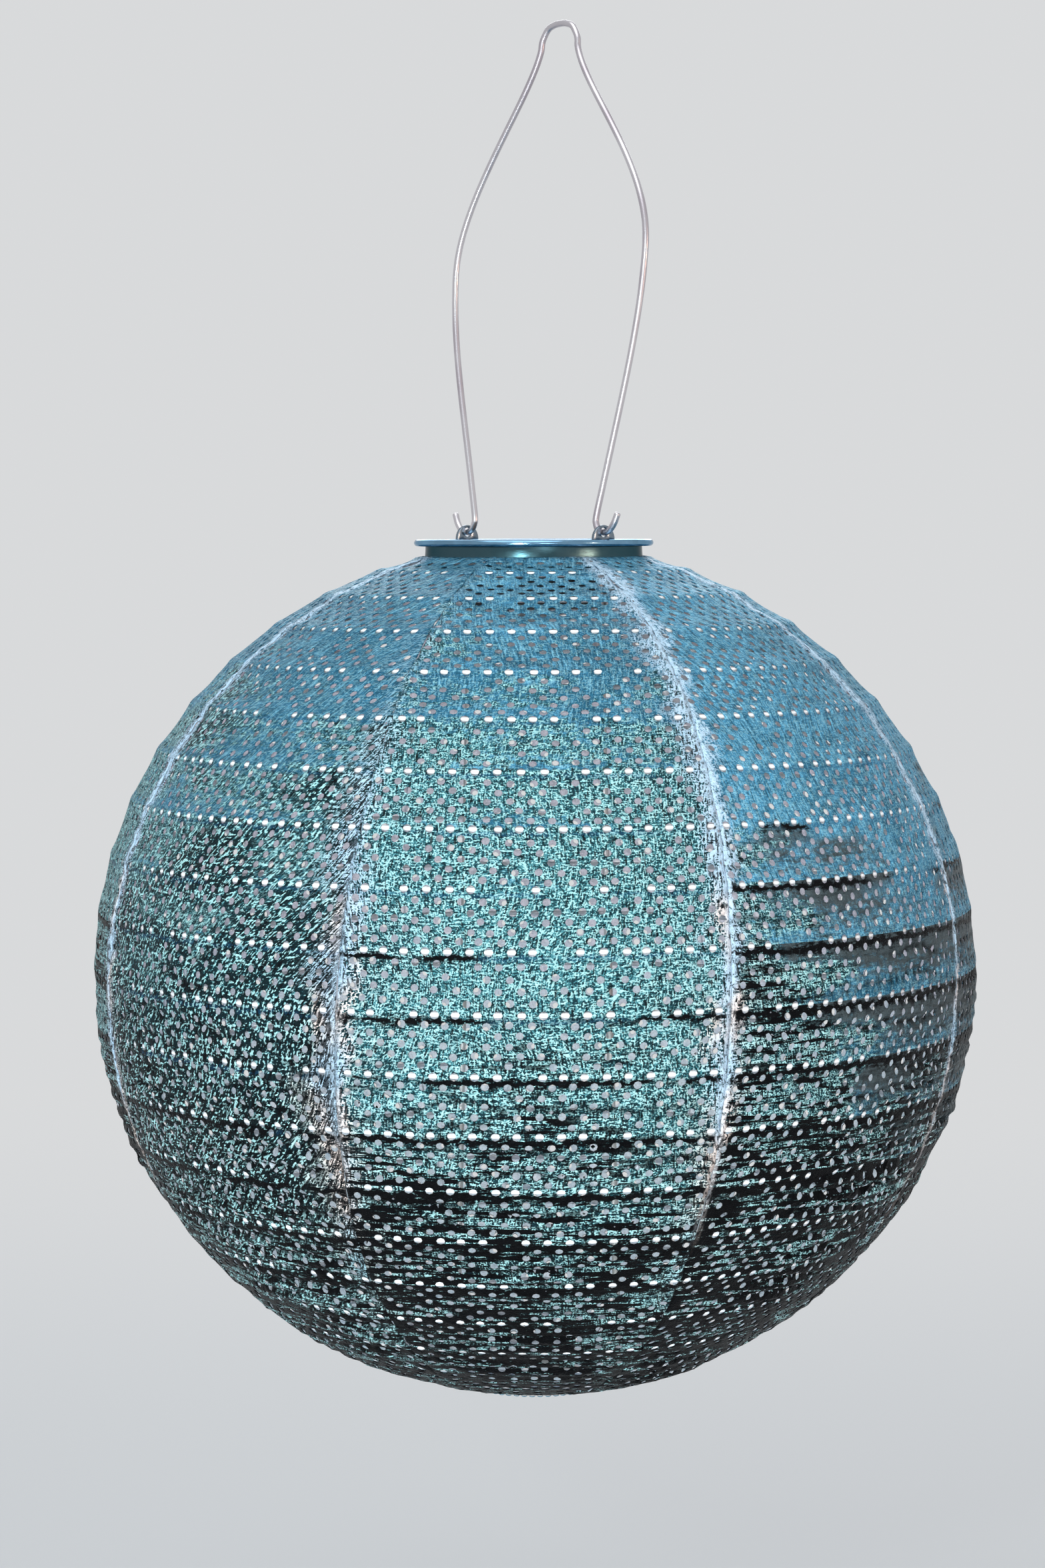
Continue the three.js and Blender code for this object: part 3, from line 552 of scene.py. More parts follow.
def cloth_material():
    """Blue and turquoise shot cloth with a crinkled weave; painted highlight along its crumpled
    seams, painted sheen, and painted shade in its creases, folds, hollows and lower part.
    """
    t = Finish("shade_cloth", Metallic=0.3, Specular_IOR_Level=0.06)
    flat, threads = t.flat_place("Flat"), t.flat_place("Threads")
    seam, rows, fold, thread, shade, crease, height, sheen, grit, ridge = map(t.attribute, (
        "seam_distance", "hoop_rows", "fold_depth", "thread_share", "shade_share",
        "crease_share", "height_share", "sheen_share", "seam_grit", "seam_ridge"))

    mottle = t.times(t.minus(t.streaks(flat, 0.22, 0.45, 5.0, 0.72, 0.5), 0.5), 2.2)
    lively = t.ramp(t.plus(thread, mottle), 0.22, 0.78)
    # Tone of the painted highlight on the crumpled seams, rosier lower down
    rosy = t.ramp(t.scaled(height, -0.35, t.streaks(flat, 0.05, 0.03)), 0.46, 0.66)
    seam_highlight_tone = t.mix(rosy, SEAM_HIGHLIGHT_BLUE, SEAM_HIGHLIGHT_ROSE)
    base, weave_height = shot_weave(
        t, flat, threads, lively, shade, crease, grit, sheen, seam_highlight_tone)

    # Painted shade in the hollow of each band just under its hoop, on the smooth cloth
    under_hoop = t.scaled(crease, 0.60, t.plus(t.math("FRACT", rows), mottle))
    hollow_shade = t.times(t.ramp(under_hoop, 0.20, 0.80), t.ramp(crease, 0.02, 0.20))
    hollow_shade = t.times(hollow_shade, t.ramp(lively, 1.0, 0.0, 0.0, 0.96))
    base = t.mix(hollow_shade, base, HOLLOW_SHADE_TAUPE)
    # Painted shadow in the crease under each hoop: dark blue where the creasing is slight, black
    # where it is deep
    line = hoop_shadow_lines(t, flat, rows, crease)
    base = t.mix(line, base, t.mix(t.ramp(crease, 0.0, 0.07), HOOP_SHADOW_BLUE, CHARCOAL))

    # Painted shade in short level creases, strongest where the thread is lively and the creasing
    # deep
    levels = t.streaks(flat, 0.055, 0.55, 4.0, 0.62, 0.5)
    level = t.ramp(t.scaled(crease, 0.19, levels), 0.61, 0.65)
    level_shade_share = t.times(t.scaled(lively, 1.7, 0.6), crease)
    base = t.mix(t.times(level, level_shade_share, clamp=True), base, CHARCOAL)
    uprights = t.streaks(threads, 1.15, 0.20, 2.5, 0.62)
    upright = t.ramp(t.plus(uprights, t.scaled(shade, 0.07, t.times(grit, 0.08))), 0.60, 0.64)
    base = t.mix(t.times(upright, t.scaled(lively, 0.7, 0.2)), base, CHARCOAL)
    # Painted shade in the valleys of the slack folds
    base = t.mix(t.times(fold, 0.95), base, CHARCOAL)

    pale, gaps, strands = seam_crumple(t, flat, seam, grit, ridge)
    # Painted highlight on the seams' crumples, and painted shade in the gaps between them
    base = t.mix(pale, t.mix(gaps, base, CHARCOAL), seam_highlight_tone)

    creping = t.streaks(flat, 0.33, 0.42, 4.0, 0.65, 0.8)
    relief = t.scaled(strands, t.times(grit, 0.8), creping)
    relief = t.minus(relief, t.plus(line, t.times(level, crease)))
    folds = t.bump(relief, 0.0011, 0.7)
    return t.feed(base, t.scaled(weave_height, -0.3, 0.58),
                  t.bump(weave_height, 0.0006, 0.85, folds))


def lining_material():
    """The pale back of the cloth, lilac above and bluer below, where the blue is painted
    skylight.
    Daylight comes through it, and painted shade darkens it in patches and higher up.
    """
    t = Finish("shade_lining", Roughness=0.8, Subsurface_Weight=1.0, Subsurface_Scale=0.003,
               Subsurface_Radius=(1.0, 1.0, 1.0))
    flat = t.flat_place("Flat")
    weave = t.effect("crosshatch", flat, thread=0.6, run=4.0, shade=0.0)
    patchy = t.streaks(flat, 0.10, 0.13, 4.0, 0.7)
    low = t.ramp(t.plus(t.attribute("height_share"), patchy), 0.60, 0.10)
    base = t.mix(low, LINING_LILAC, LINING_SKYLIT_BLUE)
    # Painted shade: patches of it, more higher up, and the lining shade share where a gore's
    # lining is seen in shade
    shadow = t.times(t.ramp(patchy, 0.60, 0.36), t.ramp(low, 0.0, 1.0, 0.65, 0.05))
    base = t.mix(t.most(shadow, t.attribute("lining_shade")), base, LINING_SHADOW)
    base = t.mix(t.times(weave["Dark"], 0.2), base, LINING_SHADOW)
    return t.feed(base, normal=t.bump(weave["Height"], 0.0003, 0.6))


def polished_material(name, tone, worn_tone, rough, dusty, brushed=0.0):
    """Polished sheet steel, with hairlines round it and a little dust. Its tone, and the edge
    tint made from it, carry the painted reflection given for each part.
    """
    edge_tone = tuple(0.45 + 0.5 * part for part in tone[:3])
    t = Finish(name, Metallic=1.0, Specular_Tint=(*edge_tone, 1), Anisotropic=brushed)
    place = t.object_place()
    lines = t.effect("hairlines", place, scale=160.0, stretch=(1, 1, 14))
    dust = t.effect("dust", place, scale=150.0, amount=dusty)["Mask"]
    base = t.mix(dust, t.mix(lines["Smear"], tone, worn_tone), METAL_DUST)
    rough_now = t.scaled(dust, 0.5, t.scaled(lines["Smear"], 0.07, rough))
    return t.feed(base, rough_now, t.bump(lines["Height"], 0.00004, 0.5))


def wire_material(name, tone, worn_tone, rough):
    """Drawn steel wire, with draw lines and duller patches."""
    t = Finish(name, Metallic=1.0)
    place = t.object_place()
    lines = t.effect("hairlines", place, scale=60.0, stretch=(6, 6, 0.4))
    dull = t.ramp(t.noise(place, 28.0, 3.0, 0.6), 0.40, 0.66)
    return t.feed(t.mix(dull, tone, worn_tone), t.scaled(dull, 0.12, rough),
                  t.bump(lines["Height"], 0.000006, 0.05))


def grained(t, place, scale, blotch_scale, tones, rough, relief, mask=None, over=None):
    """Feeds a finish with two close tones in fine grain, and another tone over them by a mask.
    Rough is the roughness and its rise in blotches, and relief is a depth and a strength."""
    grain = t.effect("grain", place, scale=scale, blotch_scale=blotch_scale)
    base = t.mix(grain["Blotch"], *tones)
    if mask is not None:
        base = t.mix(mask, base, over)
    return t.feed(base, t.scaled(grain["Blotch"], rough[1], rough[0]),
                  t.bump(grain["Height"], *relief))


def coated_wire_material():
    """White powder coat with a little orange peel and a few rubbed spots."""
    t = Finish("hoop_coating", Coat_Weight=0.25)
    place = t.object_place()
    rubbed = t.ramp(t.noise(place, 160.0, 4.0, 0.7), 0.66, 0.74)
    return grained(t, place, 1100.0, 55.0, (COAT_WHITE, COAT_DULL), (0.32, 0.15), (0.00008, 0.5),
                   rubbed, RUBBED_COAT)


def black_plastic_material():
    """Moulded black plastic with a fine sheen of dust."""
    t = Finish("black_plastic")
    place = t.object_place()
    dust = t.effect("dust", place, scale=110.0, amount=0.35)["Mask"]
    return grained(t, place, 1500.0, 70.0, (PLASTIC_BLACK, PLASTIC_WORN), (0.36, 0.14),
                   (0.00010, 0.6), dust, GREY_DUST)


def rubber_material():
    """Dull black rubber of the seal."""
    t = Finish("seal_rubber", Specular_IOR_Level=0.3)
    return grained(t, t.object_place(), 1900.0, 90.0, (RUBBER_BLACK, RUBBER_GREY), (0.7, 0.12),
                   (0.00008, 0.6))


def frosted_material():
    """Frosted plastic of the lens."""
    t = Finish("frosted_lens", Transmission_Weight=0.6, IOR=1.49)
    return grained(t, t.object_place(), 2200.0, 120.0, (FROST, FROST_PALE), (0.35, 0.15),
                   (0.00006, 0.6))


def sleeve_material():
    """Shrink sleeve round the battery, with a pale band at each end."""
    t = Finish("battery_sleeve", Coat_Weight=0.4)
    place = t.object_place()
    from_middle = t.math("ABSOLUTE", t.split(place)[0])
    end = t.math("GREATER_THAN", from_middle, SLEEVE_HALF_LENGTH)
    return grained(t, place, 700.0, 50.0, (SLEEVE_GREEN, SLEEVE_PALE), (0.28, 0.1),
                   (0.00005, 0.5), end, SLEEVE_END)


def window_material():
    """Clear cover over the cell, with faint dust and hairlines."""
    t = Finish("clear_cover", Transmission_Weight=1.0, IOR=1.49)
    place = t.object_place()
    dust = t.effect("dust", place, scale=140.0, amount=0.4)["Mask"]
    hair = t.effect("hairlines", place, scale=120.0, stretch=(8, 1, 1))
    return t.feed(t.mix(dust, COVER_CLEAR, COVER_DUST), t.scaled(dust, 0.5, 0.03),
                  t.bump(hair["Height"], 0.00002, 0.5))


def solar_material():
    """Deep blue cell with fine collector lines, and dark gaps between its strips."""
    t = Finish("solar_cell", Coat_Weight=0.5, Coat_Roughness=0.1)
    place = t.object_place()
    to_axis = (0, -axis_xy.y, 0)
    x, y, _ = t.split(t.fed("ShaderNodeVectorMath", {0: place, 1: to_axis}, operation="ADD")[0])

    def lines(value, pitch, width):
        step = t.math("FRACT", t.math("DIVIDE", value, pitch))
        off = t.math("ABSOLUTE", t.minus(step, 0.5))
        return t.math("GREATER_THAN", off, 0.5 - width / pitch / 2)

    collectors = lines(x, COLLECTOR_PITCH, COLLECTOR_WIDTH)
    gaps = lines(y, STRIP_PITCH, STRIP_GAP)
    crystals = t.fed("ShaderNodeTexVoronoi", {"Vector": place, "Scale": 420.0})["Color"]
    tone = t.mix(collectors, t.mix(crystals, CELL_BLUE, CELL_GLINT), COLLECTOR)
    return t.feed(t.mix(gaps, tone, CELL_GAP), t.scaled(collectors, 0.2, 0.26),
                  t.bump(t.minus(collectors, gaps), 0.00006, 0.5))


def board_material():
    """Green solder mask over copper tracks, with tinned pads."""
    t = Finish("circuit_board")
    place = t.object_place()
    bricks = {"Vector": place, "Scale": 260.0, "Mortar Size": 0.05}
    tracks = t.times(t.fed("ShaderNodeTexBrick", bricks)["Fac"], 0.7)
    pads = t.ramp(t.noise(place, 420.0, 0.0), 0.68, 0.72)
    base = t.mix(pads, t.mix(tracks, BOARD_GREEN, TRACK_GREEN), TINNED)
    return t.feed(base, t.scaled(pads, -0.1, 0.38), t.bump(tracks, 0.00005, 0.6))


def resin_material():
    """Clear yellowish resin of the light."""
    t = Finish("led_resin", Transmission_Weight=0.8, IOR=1.5)
    swirl = t.ramp(t.noise(t.object_place(), 350.0, 3.0), 0.35, 0.7)
    return t.feed(t.mix(swirl, RESIN, RESIN_PALE), t.scaled(swirl, 0.08, 0.06))


def thread_material():
    """Blue sewing thread, with its ply."""
    t = Finish("sewing_thread", Roughness=0.6, Sheen_Weight=0.3)
    ply = t.noise(t.object_place(), 1800.0)
    tone = t.mix(t.ramp(ply, 0.4, 0.6), THREAD_BLUE, THREAD_PALE)
    return t.feed(tone, normal=t.bump(ply, 0.00008, 0.6))


finishes = {
    "cloth": cloth_material(),
    "lining": lining_material(),
    # Painted reflection: the rim's blue tone and bluer edges stand in for the sky it mirrors
    "steel": polished_material(
        "polished_rim", (0.21, 0.40, 0.57, 1), (0.15, 0.29, 0.42, 1), 0.10, 0.15),
    # Painted reflection: the ear's dark blue-grey tone stands in for the darker surroundings it
    # mirrors
    "ear": polished_material(
        "polished_ear", (0.20, 0.25, 0.30, 1), (0.14, 0.17, 0.21, 1), 0.18, 0.15),
    # Painted reflection: the neck's dark teal tone stands in for the dark surroundings it mirrors
    "neck": polished_material(
        "polished_neck", (0.036, 0.085, 0.105, 1), (0.045, 0.090, 0.110, 1), 0.14, 0.03, 0.80),
    "bail": wire_material("bail_wire", (0.62, 0.60, 0.63, 1), (0.45, 0.41, 0.45, 1), 0.28),
    "spring": wire_material("spring_wire", (0.58, 0.58, 0.57, 1), (0.40, 0.38, 0.35, 1), 0.28),
    "screw": wire_material("screw_steel", (0.55, 0.56, 0.57, 1), (0.42, 0.41, 0.40, 1), 0.26),
    "coated": coated_wire_material(),
    "black": black_plastic_material(),
    "window": window_material(),
    "solar": solar_material(),
    "rubber": rubber_material(),
    "board": board_material(),
    "resin": resin_material(),
    "frosted": frosted_material(),
    "sleeve": sleeve_material(),
    "thread": thread_material(),
}


# ---------- Mesh helpers ----------


def full_turn(count):
    """Evenly spaced angles all the way round."""
    return np.arange(count) * 2 * math.pi / count


def level_ring(radius, height, angles):
    """Points round the globe's axis. Radius is one number, or one for each angle."""
    return np.stack([radius * np.cos(angles), radius * np.sin(angles) + axis_xy.y,
                     np.full(len(angles), height)], axis=1)


def new_piece(name, points, faces, materials, sharp=None, slots=None):
    """A smooth mesh object. Sharp is the angle in degrees over which an edge stays crisp."""
    mesh = bpy.data.meshes.new(name)
    mesh.from_pydata([tuple(p) for p in points], [], [tuple(f) for f in faces])
    mesh.polygons.foreach_set("use_smooth", [True] * len(mesh.polygons))
    for material in materials:
        mesh.materials.append(material)
    if slots is not None:
        mesh.polygons.foreach_set("material_index", slots)
    if sharp is not None:
        mesh.set_sharp_from_angle(angle=math.radians(sharp))
    mesh.update()
    return in_scene(name, mesh)


def lofted(loops, closed_path=False, capped=False):
    """Points and quads that join loops of equal length, each loop closed on itself."""
    loops = np.asarray(loops, float)
    count, ring = loops.shape[:2]
    faces = []
    for a in range(count if closed_path else count - 1):
        b = (a + 1) % count
        for i in range(ring):
            j = (i + 1) % ring
            faces.append((a * ring + i, a * ring + j, b * ring + j, b * ring + i))
    if capped:
        faces.append(tuple(reversed(range(ring))))
        faces.append(tuple(range((count - 1) * ring, count * ring)))
    return loops.reshape(-1, 3), faces


FILLET_STEPS = 4


def filleted(outline, radii):
    """The outline's corners rounded. Outline and radii are in millimetres."""
    out, count = [], len(outline)
    for i, (corner, radius) in enumerate(zip(outline, radii)):
        corner = np.array(corner, float)
        if radius <= 0:
            out.append(corner)
            continue
        before = np.array(outline[i - 1], float) - corner
        after = np.array(outline[(i + 1) % count], float) - corner
        before, after = before / np.linalg.norm(before), after / np.linalg.norm(after)
        half = math.acos(max(-1, min(1, float(before @ after)))) / 2
        reach = radius / math.tan(half)
        middle = corner + (before + after) / np.linalg.norm(before + after) * (
            radius / math.sin(half))
        first, last = corner + before * reach - middle, corner + after * reach - middle
        for s in np.linspace(0, 1, FILLET_STEPS + 1):
            spoke = first * (1 - s) + last * s
            out.append(middle + spoke / np.linalg.norm(spoke) * radius)
    return np.array(out)


RING_FACETS = 240


def revolved(name, outline_mm, material):
    """A ring turned about the globe's axis. The outline is closed, counter-clockwise
    [radius, height] pairs, with heights from the top of the rim."""
    outline = np.asarray(outline_mm, float) * MM
    loops = [
        np.stack([
            outline[:, 0] * math.cos(a),
            outline[:, 0] * math.sin(a) + axis_xy.y,
            outline[:, 1] + rim_top,
        ], axis=1)
        for a in full_turn(RING_FACETS)
    ]
    points, faces = lofted(loops, closed_path=True)
    return new_piece(name, points, [tuple(reversed(f)) for f in faces], [material], 50)


def turned(name, profile_mm, material, facets, sharp=40, base_mm=(0, 0)):
    """A solid turned about an upright line, which is the globe's axis or base_mm away from it.
    The profile runs from the line at the bottom to the line at the top, as [radius, height]
    pairs in millimetres, with heights from the top of the rim."""
    base = Vector((base_mm[0] * MM, axis_xy.y + base_mm[1] * MM, rim_top))
    profile = np.asarray(profile_mm, float) * MM
    inner = profile[1:-1]
    points = [(base.x, base.y, base.z + profile[0, 1])]
    for radius, height in inner:
        for a in full_turn(facets):
            points.append((base.x + radius * math.cos(a), base.y + radius * math.sin(a),
                           base.z + height))
    points.append((base.x, base.y, base.z + profile[-1, 1]))
    faces, last = [], len(points) - 1
    top = 1 + (len(inner) - 1) * facets
    for i in range(facets):
        j = (i + 1) % facets
        faces.append((0, 1 + j, 1 + i))
        for row in range(len(inner) - 1):
            a, b = 1 + row * facets, 1 + (row + 1) * facets
            faces.append((a + i, a + j, b + j, b + i))
        faces.append((top + i, top + j, last))
    return new_piece(name, points, faces, [material], sharp)


def wire_frames(path, closed):
    """Tangents and a steady pair of normals along a path."""
    if closed:
        ahead = np.roll(path, -1, axis=0) - np.roll(path, 1, axis=0)
    else:
        ahead = np.gradient(path, axis=0)
    ahead /= np.linalg.norm(ahead, axis=1)[:, None]
    side = np.cross(ahead[0], (0.31, 0.17, 0.93))  # any line that no wire here starts along
    sides = []
    for direction in ahead:
        side = side - direction * (side @ direction)
        side /= np.linalg.norm(side)
        sides.append(side.copy())
    sides = np.array(sides)
    return ahead, sides, np.cross(ahead, sides)


def wire_loops(path, radii, across, other, angles):
    """Rings round each point of a path. Angles is a row for each point."""
    return path[:, None] + radii[:, None, None] * (
        np.cos(angles)[..., None] * across[:, None] + np.sin(angles)[..., None] * other[:, None])


ROUND_END_DEGREES = (90, 65, 40, 18)
ROUND_END_LENGTH = 0.7  # of the wire's radius


def round_ended(path, radii, ahead, across, other):
    """The same wire with domed ends."""
    dome = np.radians(ROUND_END_DEGREES)
    beyond = ROUND_END_LENGTH * np.sin(dome)[:, None]
    slim = np.maximum(np.cos(dome), 0.05)
    path = np.vstack([path[0] - ahead[0] * radii[0] * beyond, path,
                      (path[-1] + ahead[-1] * radii[-1] * beyond)[::-1]])
    radii = np.concatenate([radii[0] * slim, radii, radii[-1] * slim[::-1]])
    count = len(dome)
    across, other = (np.vstack([[side[0]] * count, side, [side[-1]] * count])
                     for side in (across, other))
    return path, radii, across, other


def wire(name, path, radius, material, sides=12, closed=False):
    """A round wire along a path. Radius is one number, or one for each point."""
    path = np.asarray(path, float)
    radii = np.full(len(path), radius) if np.isscalar(radius) else np.asarray(radius, float)
    ahead, across, other = wire_frames(path, closed)
    twist = 0.0
    if closed:
        last, first = across[-1], across[0]
        twist = math.atan2(np.dot(np.cross(last, first), ahead[0]), np.dot(last, first))
    else:
        path, radii, across, other = round_ended(path, radii, ahead, across, other)
    share = np.arange(len(path)) / len(path)
    angles = full_turn(sides)[None, :] + twist * share[:, None]
    loops = wire_loops(path, radii, across, other, angles)
    points, faces = lofted(loops, closed_path=closed, capped=not closed)
    return new_piece(name, points, faces, [material])


def smooth_path(points, steps):
    """A Catmull-Rom curve through the points."""
    p = np.asarray(points, float)
    p = np.vstack([2 * p[0] - p[1], p, 2 * p[-1] - p[-2]])
    out = []
    for i in range(1, len(p) - 2):
        a, b, c, d = p[i - 1:i + 3]
        for s in np.arange(steps) / steps:
            out.append(0.5 * (2 * b + (c - a) * s + (2 * a - 5 * b + 4 * c - d) * s * s
                              + (3 * b - a - 3 * c + d) * s ** 3))
    out.append(p[-2])
    return np.array(out)


def bezier(a, b, c, d, steps):
    """A cubic curve from a to d."""
    s = np.linspace(0, 1, steps + 1)[:, None]
    a, b, c, d = (np.array(x, float) for x in (a, b, c, d))
    return a * (1 - s) ** 3 + 3 * b * s * (1 - s) ** 2 + 3 * c * s * s * (1 - s) + d * s ** 3


def unit(value):
    """Kept from 0 to 1."""
    return np.clip(value, 0, 1)


def smooth_share(value):
    """An even start and end, for a value from 0 to 1."""
    return value * value * (3 - 2 * value)


def near(distance, reach):
    """One at no distance, and fading away over a reach."""
    return np.exp(-distance / reach)


def lattice_noise(x, y, seed):
    """Smooth noise from -1 to 1, one cell per unit of x and y: lattice_noise(x / 38, ...)
    has cells of 38 mm across where x is in millimetres."""
    x, y = np.asarray(x, float), np.asarray(y, float)
    xi, yi = np.floor(x).astype(np.int64), np.floor(y).astype(np.int64)
    fx, fy = smooth_share(x - xi), smooth_share(y - yi)

    def corner(a, b):
        h = (a * 374761393 + b * 668265263 + seed * 974634777) & 0x7FFFFFFF
        h = ((h ^ (h >> 13)) * 1274126177) & 0x7FFFFFFF
        return ((h ^ (h >> 16)) & 0xFFFF) / 32767.5 - 1

    low = corner(xi, yi) * (1 - fx) + corner(xi + 1, yi) * fx
    high = corner(xi, yi + 1) * (1 - fx) + corner(xi + 1, yi + 1) * fx
    return low * (1 - fy) + high * fy


def settled(piece):
    """Applies a piece's modifiers to its mesh."""
    shown = piece.evaluated_get(bpy.context.evaluated_depsgraph_get())
    mesh = bpy.data.meshes.new_from_object(shown)
    piece.modifiers.clear()
    piece.data = mesh


def cut_from(piece, tools):
    """Cuts the tools, which are mesh objects, from a piece and deletes them."""
    for tool in tools:
        cut = piece.modifiers.new("cut", "BOOLEAN")
        cut.operation, cut.solver, cut.object = "DIFFERENCE", "EXACT", tool
    settled(piece)
    for tool in tools:
        bpy.data.objects.remove(tool)


CRISP_ANGLE = math.radians(35)


def eased(piece, width_mm):
    """Small rounded edges on a machined or moulded piece."""
    bevel = piece.modifiers.new("edges", "BEVEL")
    bevel.width, bevel.segments = width_mm * MM, 2
    bevel.limit_method, bevel.angle_limit = "ANGLE", CRISP_ANGLE
    bevel.harden_normals = False
    piece.data.polygons.foreach_set("use_smooth", [True] * len(piece.data.polygons))
    piece.data.set_sharp_from_angle(angle=CRISP_ANGLE)


def block_tool(low, high):
    """A block to cut with, between two opposite corners."""
    corners = [(x, y, z) for x in (low[0], high[0]) for y in (low[1], high[1])
               for z in (low[2], high[2])]
    faces = [(0, 1, 3, 2), (4, 6, 7, 5), (0, 4, 5, 1), (2, 3, 7, 6), (0, 2, 6, 4), (1, 5, 7, 3)]
    return new_piece("tool", corners, faces, [])


def pin_tool(radius_mm, low_mm, high_mm, x_mm, y_mm):
    """An upright pin to cut with."""
    profile = [(0, low_mm), (radius_mm, low_mm), (radius_mm, high_mm), (0, high_mm)]
    return turned("tool", profile, None, 48, None, (x_mm, y_mm))


# ---------- The shade ----------

CLOTH_SHEET = 0.3 * MM
CLOTH_OVER_HOOP = 0.75 * MM  # the cloth's face over a hoop, inwards of the ideal globe
HOLE_RADIUS_MM = 1.22
COLUMN_MM = 3.2  # between columns of holes
ROW_MM = 3.35  # between rows, which are staggered
SEAM_MARGIN_MM = 0.55
HALF_SEAM_GAP_MM = 0.05
HEM_RING_SETBACK_MM = 1.6
SCALLOP_MM = 0.30  # how far the cloth draws in between hoops where it is tight
FOLD_MM = 2.4
FAN_MM = 0.35  # of the fine pleats beside a seam
CRUMPLE_MM = 0.55
DIMPLE_MM = 0.16
SEAM_TUCK_MM = 0.4
SEAM_RIDGE_MM = 4.6  # how wide a raised seam is
HOLE_JITTER_MM = 0.42
CUT_EDGE_MARGIN = 0.0006  # in the baked map

# Seeds of what is uneven in the cloth. Each gore adds its own number
HANG_SEED, RELIEF_SEED, WARP_SEED = 11, 40, 70
BANK_SEED, SMALL_BANK_SEED, SMOOTH_SEED, LINING_SEED = 140, 150, 170, 180
PLAIN_SEED, MISSED_SEED, RAGGED_SEED = 300, 400, 500
LEAN_SEED, RISE_SEED = 600, 650
JITTER_SEEDS = (900, 950)
PATCH_SEED, PATCH_WARP_SEEDS, PATCH_RIPPLE_SEED = 9, (21, 22), 31


class Meridian:
    """The globe's section, by length along the cloth in millimetres from the patch's edge."""

    def __init__(self):
        lowest = -math.degrees(math.acos((patch_radius + 0.5 * MM) / globe_radius))
        highest = math.degrees(math.acos(hem_radius / globe_radius))
        self.latitude = np.linspace(lowest, highest, 4000)
        lat = np.radians(self.latitude)
        self.radius = globe_radius * np.cos(lat)
        self.height = globe_centre_z + globe_half_height * np.sin(lat)
        step = np.hypot(np.diff(self.radius), np.diff(self.height))
        self.along = np.concatenate([[0], np.cumsum(step)]) / MM
        self.length = self.along[-1]
        normal = np.stack([np.cos(lat) / globe_radius, np.sin(lat) / globe_half_height])
        self.normal = normal / np.linalg.norm(normal, axis=0)
        self.hoops = np.array([
            self.along[np.argmin(np.hypot(
                self.radius - CLOTH_TO_HOOP * self.normal[0] - r,
                self.height - CLOTH_TO_HOOP * self.normal[1] - z))]
            for r, z in zip(hoop_radii, hoop_heights)
        ])

    def at(self, along_mm):
        """Radius, height and the outward normal's two parts."""
        return [np.interp(along_mm, self.along, v)
                for v in (self.radius, self.height, self.normal[0], self.normal[1])]

    def rows(self, along_mm):
        """The hoop count at a place: whole at each hoop and at the ends of the cloth."""
        stops = [0, *self.hoops, self.length - HEM_RING_SETBACK_MM, self.length]
        return np.interp(along_mm, stops, [*range(len(self.hoops) + 2), len(self.hoops) + 1.05])

    def from_hoop(self, along_mm):
        """Distance along the cloth to the nearest hoop or hem ring, in millimetres."""
        stops = np.array([*self.hoops, self.length - HEM_RING_SETBACK_MM])
        return np.min(np.abs(np.asarray(along_mm)[:, None] - stops[None]), axis=1)

    def half_width_mm(self, along_mm):
        return self.at(along_mm)[0] * GORE_TURN / 2 / MM - HALF_SEAM_GAP_MM


meridian = Meridian()


def height_share(along_mm):
    """Height over the globe's middle, from -1 at its foot to 1 at its top."""
    return (meridian.at(along_mm)[1] - globe_centre_z) / globe_half_height


# By gore: the height at which plain blue turns to lively thread, at which painted shade begins
# to darken the cloth, at which level creases begin, painted dark, and at which it begins to hang
# slack
THREAD_START = [0.42, 0.26, 0.38, 0.56, 0.66, 0.74, 0.76, 0.82]
SHADE_START = [0.26, 0.34, 0.20, 0.15, 0.25, 0.60, 0.92, 0.06]
CREASE_START = [0.36, 0.40, 0.20, 0.15, 0.25, 0.30, -0.10, 0.08]
SLACK_START = [0.52, 0.60, 0.40, 0.35, 0.40, 0.45, 0.35, 0.16]

# By gore: how much painted sheen shows where its weave is smooth, and how its threads lean
SHEEN = [0.80, 0.75, 0.40, 0.30, 0.40, 0.10, 0.00, 0.22]
THREAD_LEAN = [-0.15, 0.20, -0.20, 0.10, 0.25, -0.30, 0.55, 0.0]

# By gore that stays plain blue low down: on its right side alone, or on both
SMOOTH_SIDE = {0: "right", 1: "both"}

# By gore: the height at which painted shade begins to darken its lining
LINING_DARK = [0.55, 0.55, 0.34, 0.50, 0.66, 0.55, 0.55, 0.55]

# By the seam on each gore's left: how crumpled it is and how much painted highlight it catches,
# from its foot to its top, and how many millimetres this spreads to the seam's left and right
SEAM_HEIGHTS = [-0.75, -0.40, -0.10, 0.20, 0.50, 0.90]
SEAM_CRUMPLE_HIGHLIGHT = [
    [0.00, 0.27, 0.54, 0.78, 0.90, 0.85],
    [0.10, 0.35, 0.50, 0.65, 0.85, 0.80],
    [0.00, 0.30, 0.50, 0.60, 0.70, 0.60],
    [0.05, 0.35, 0.60, 0.70, 0.60, 0.50],
    [0.00, 0.30, 0.50, 0.60, 0.70, 0.60],
    [0.05, 0.40, 0.60, 0.60, 0.60, 0.50],
    [0.00, 0.35, 0.55, 0.65, 0.85, 0.80],
    [0.00, 0.50, 0.92, 0.76, 0.42, 0.20],
]
SEAM_SPREAD = [(7, 5), (4, 4), (5, 5), (5, 5), (5, 5), (5, 5), (4, 4), (10, 6)]
SEAM_RIDGE = [1.0, 0.8, 0.7, 0.7, 0.7, 0.7, 0.8, 0.35]

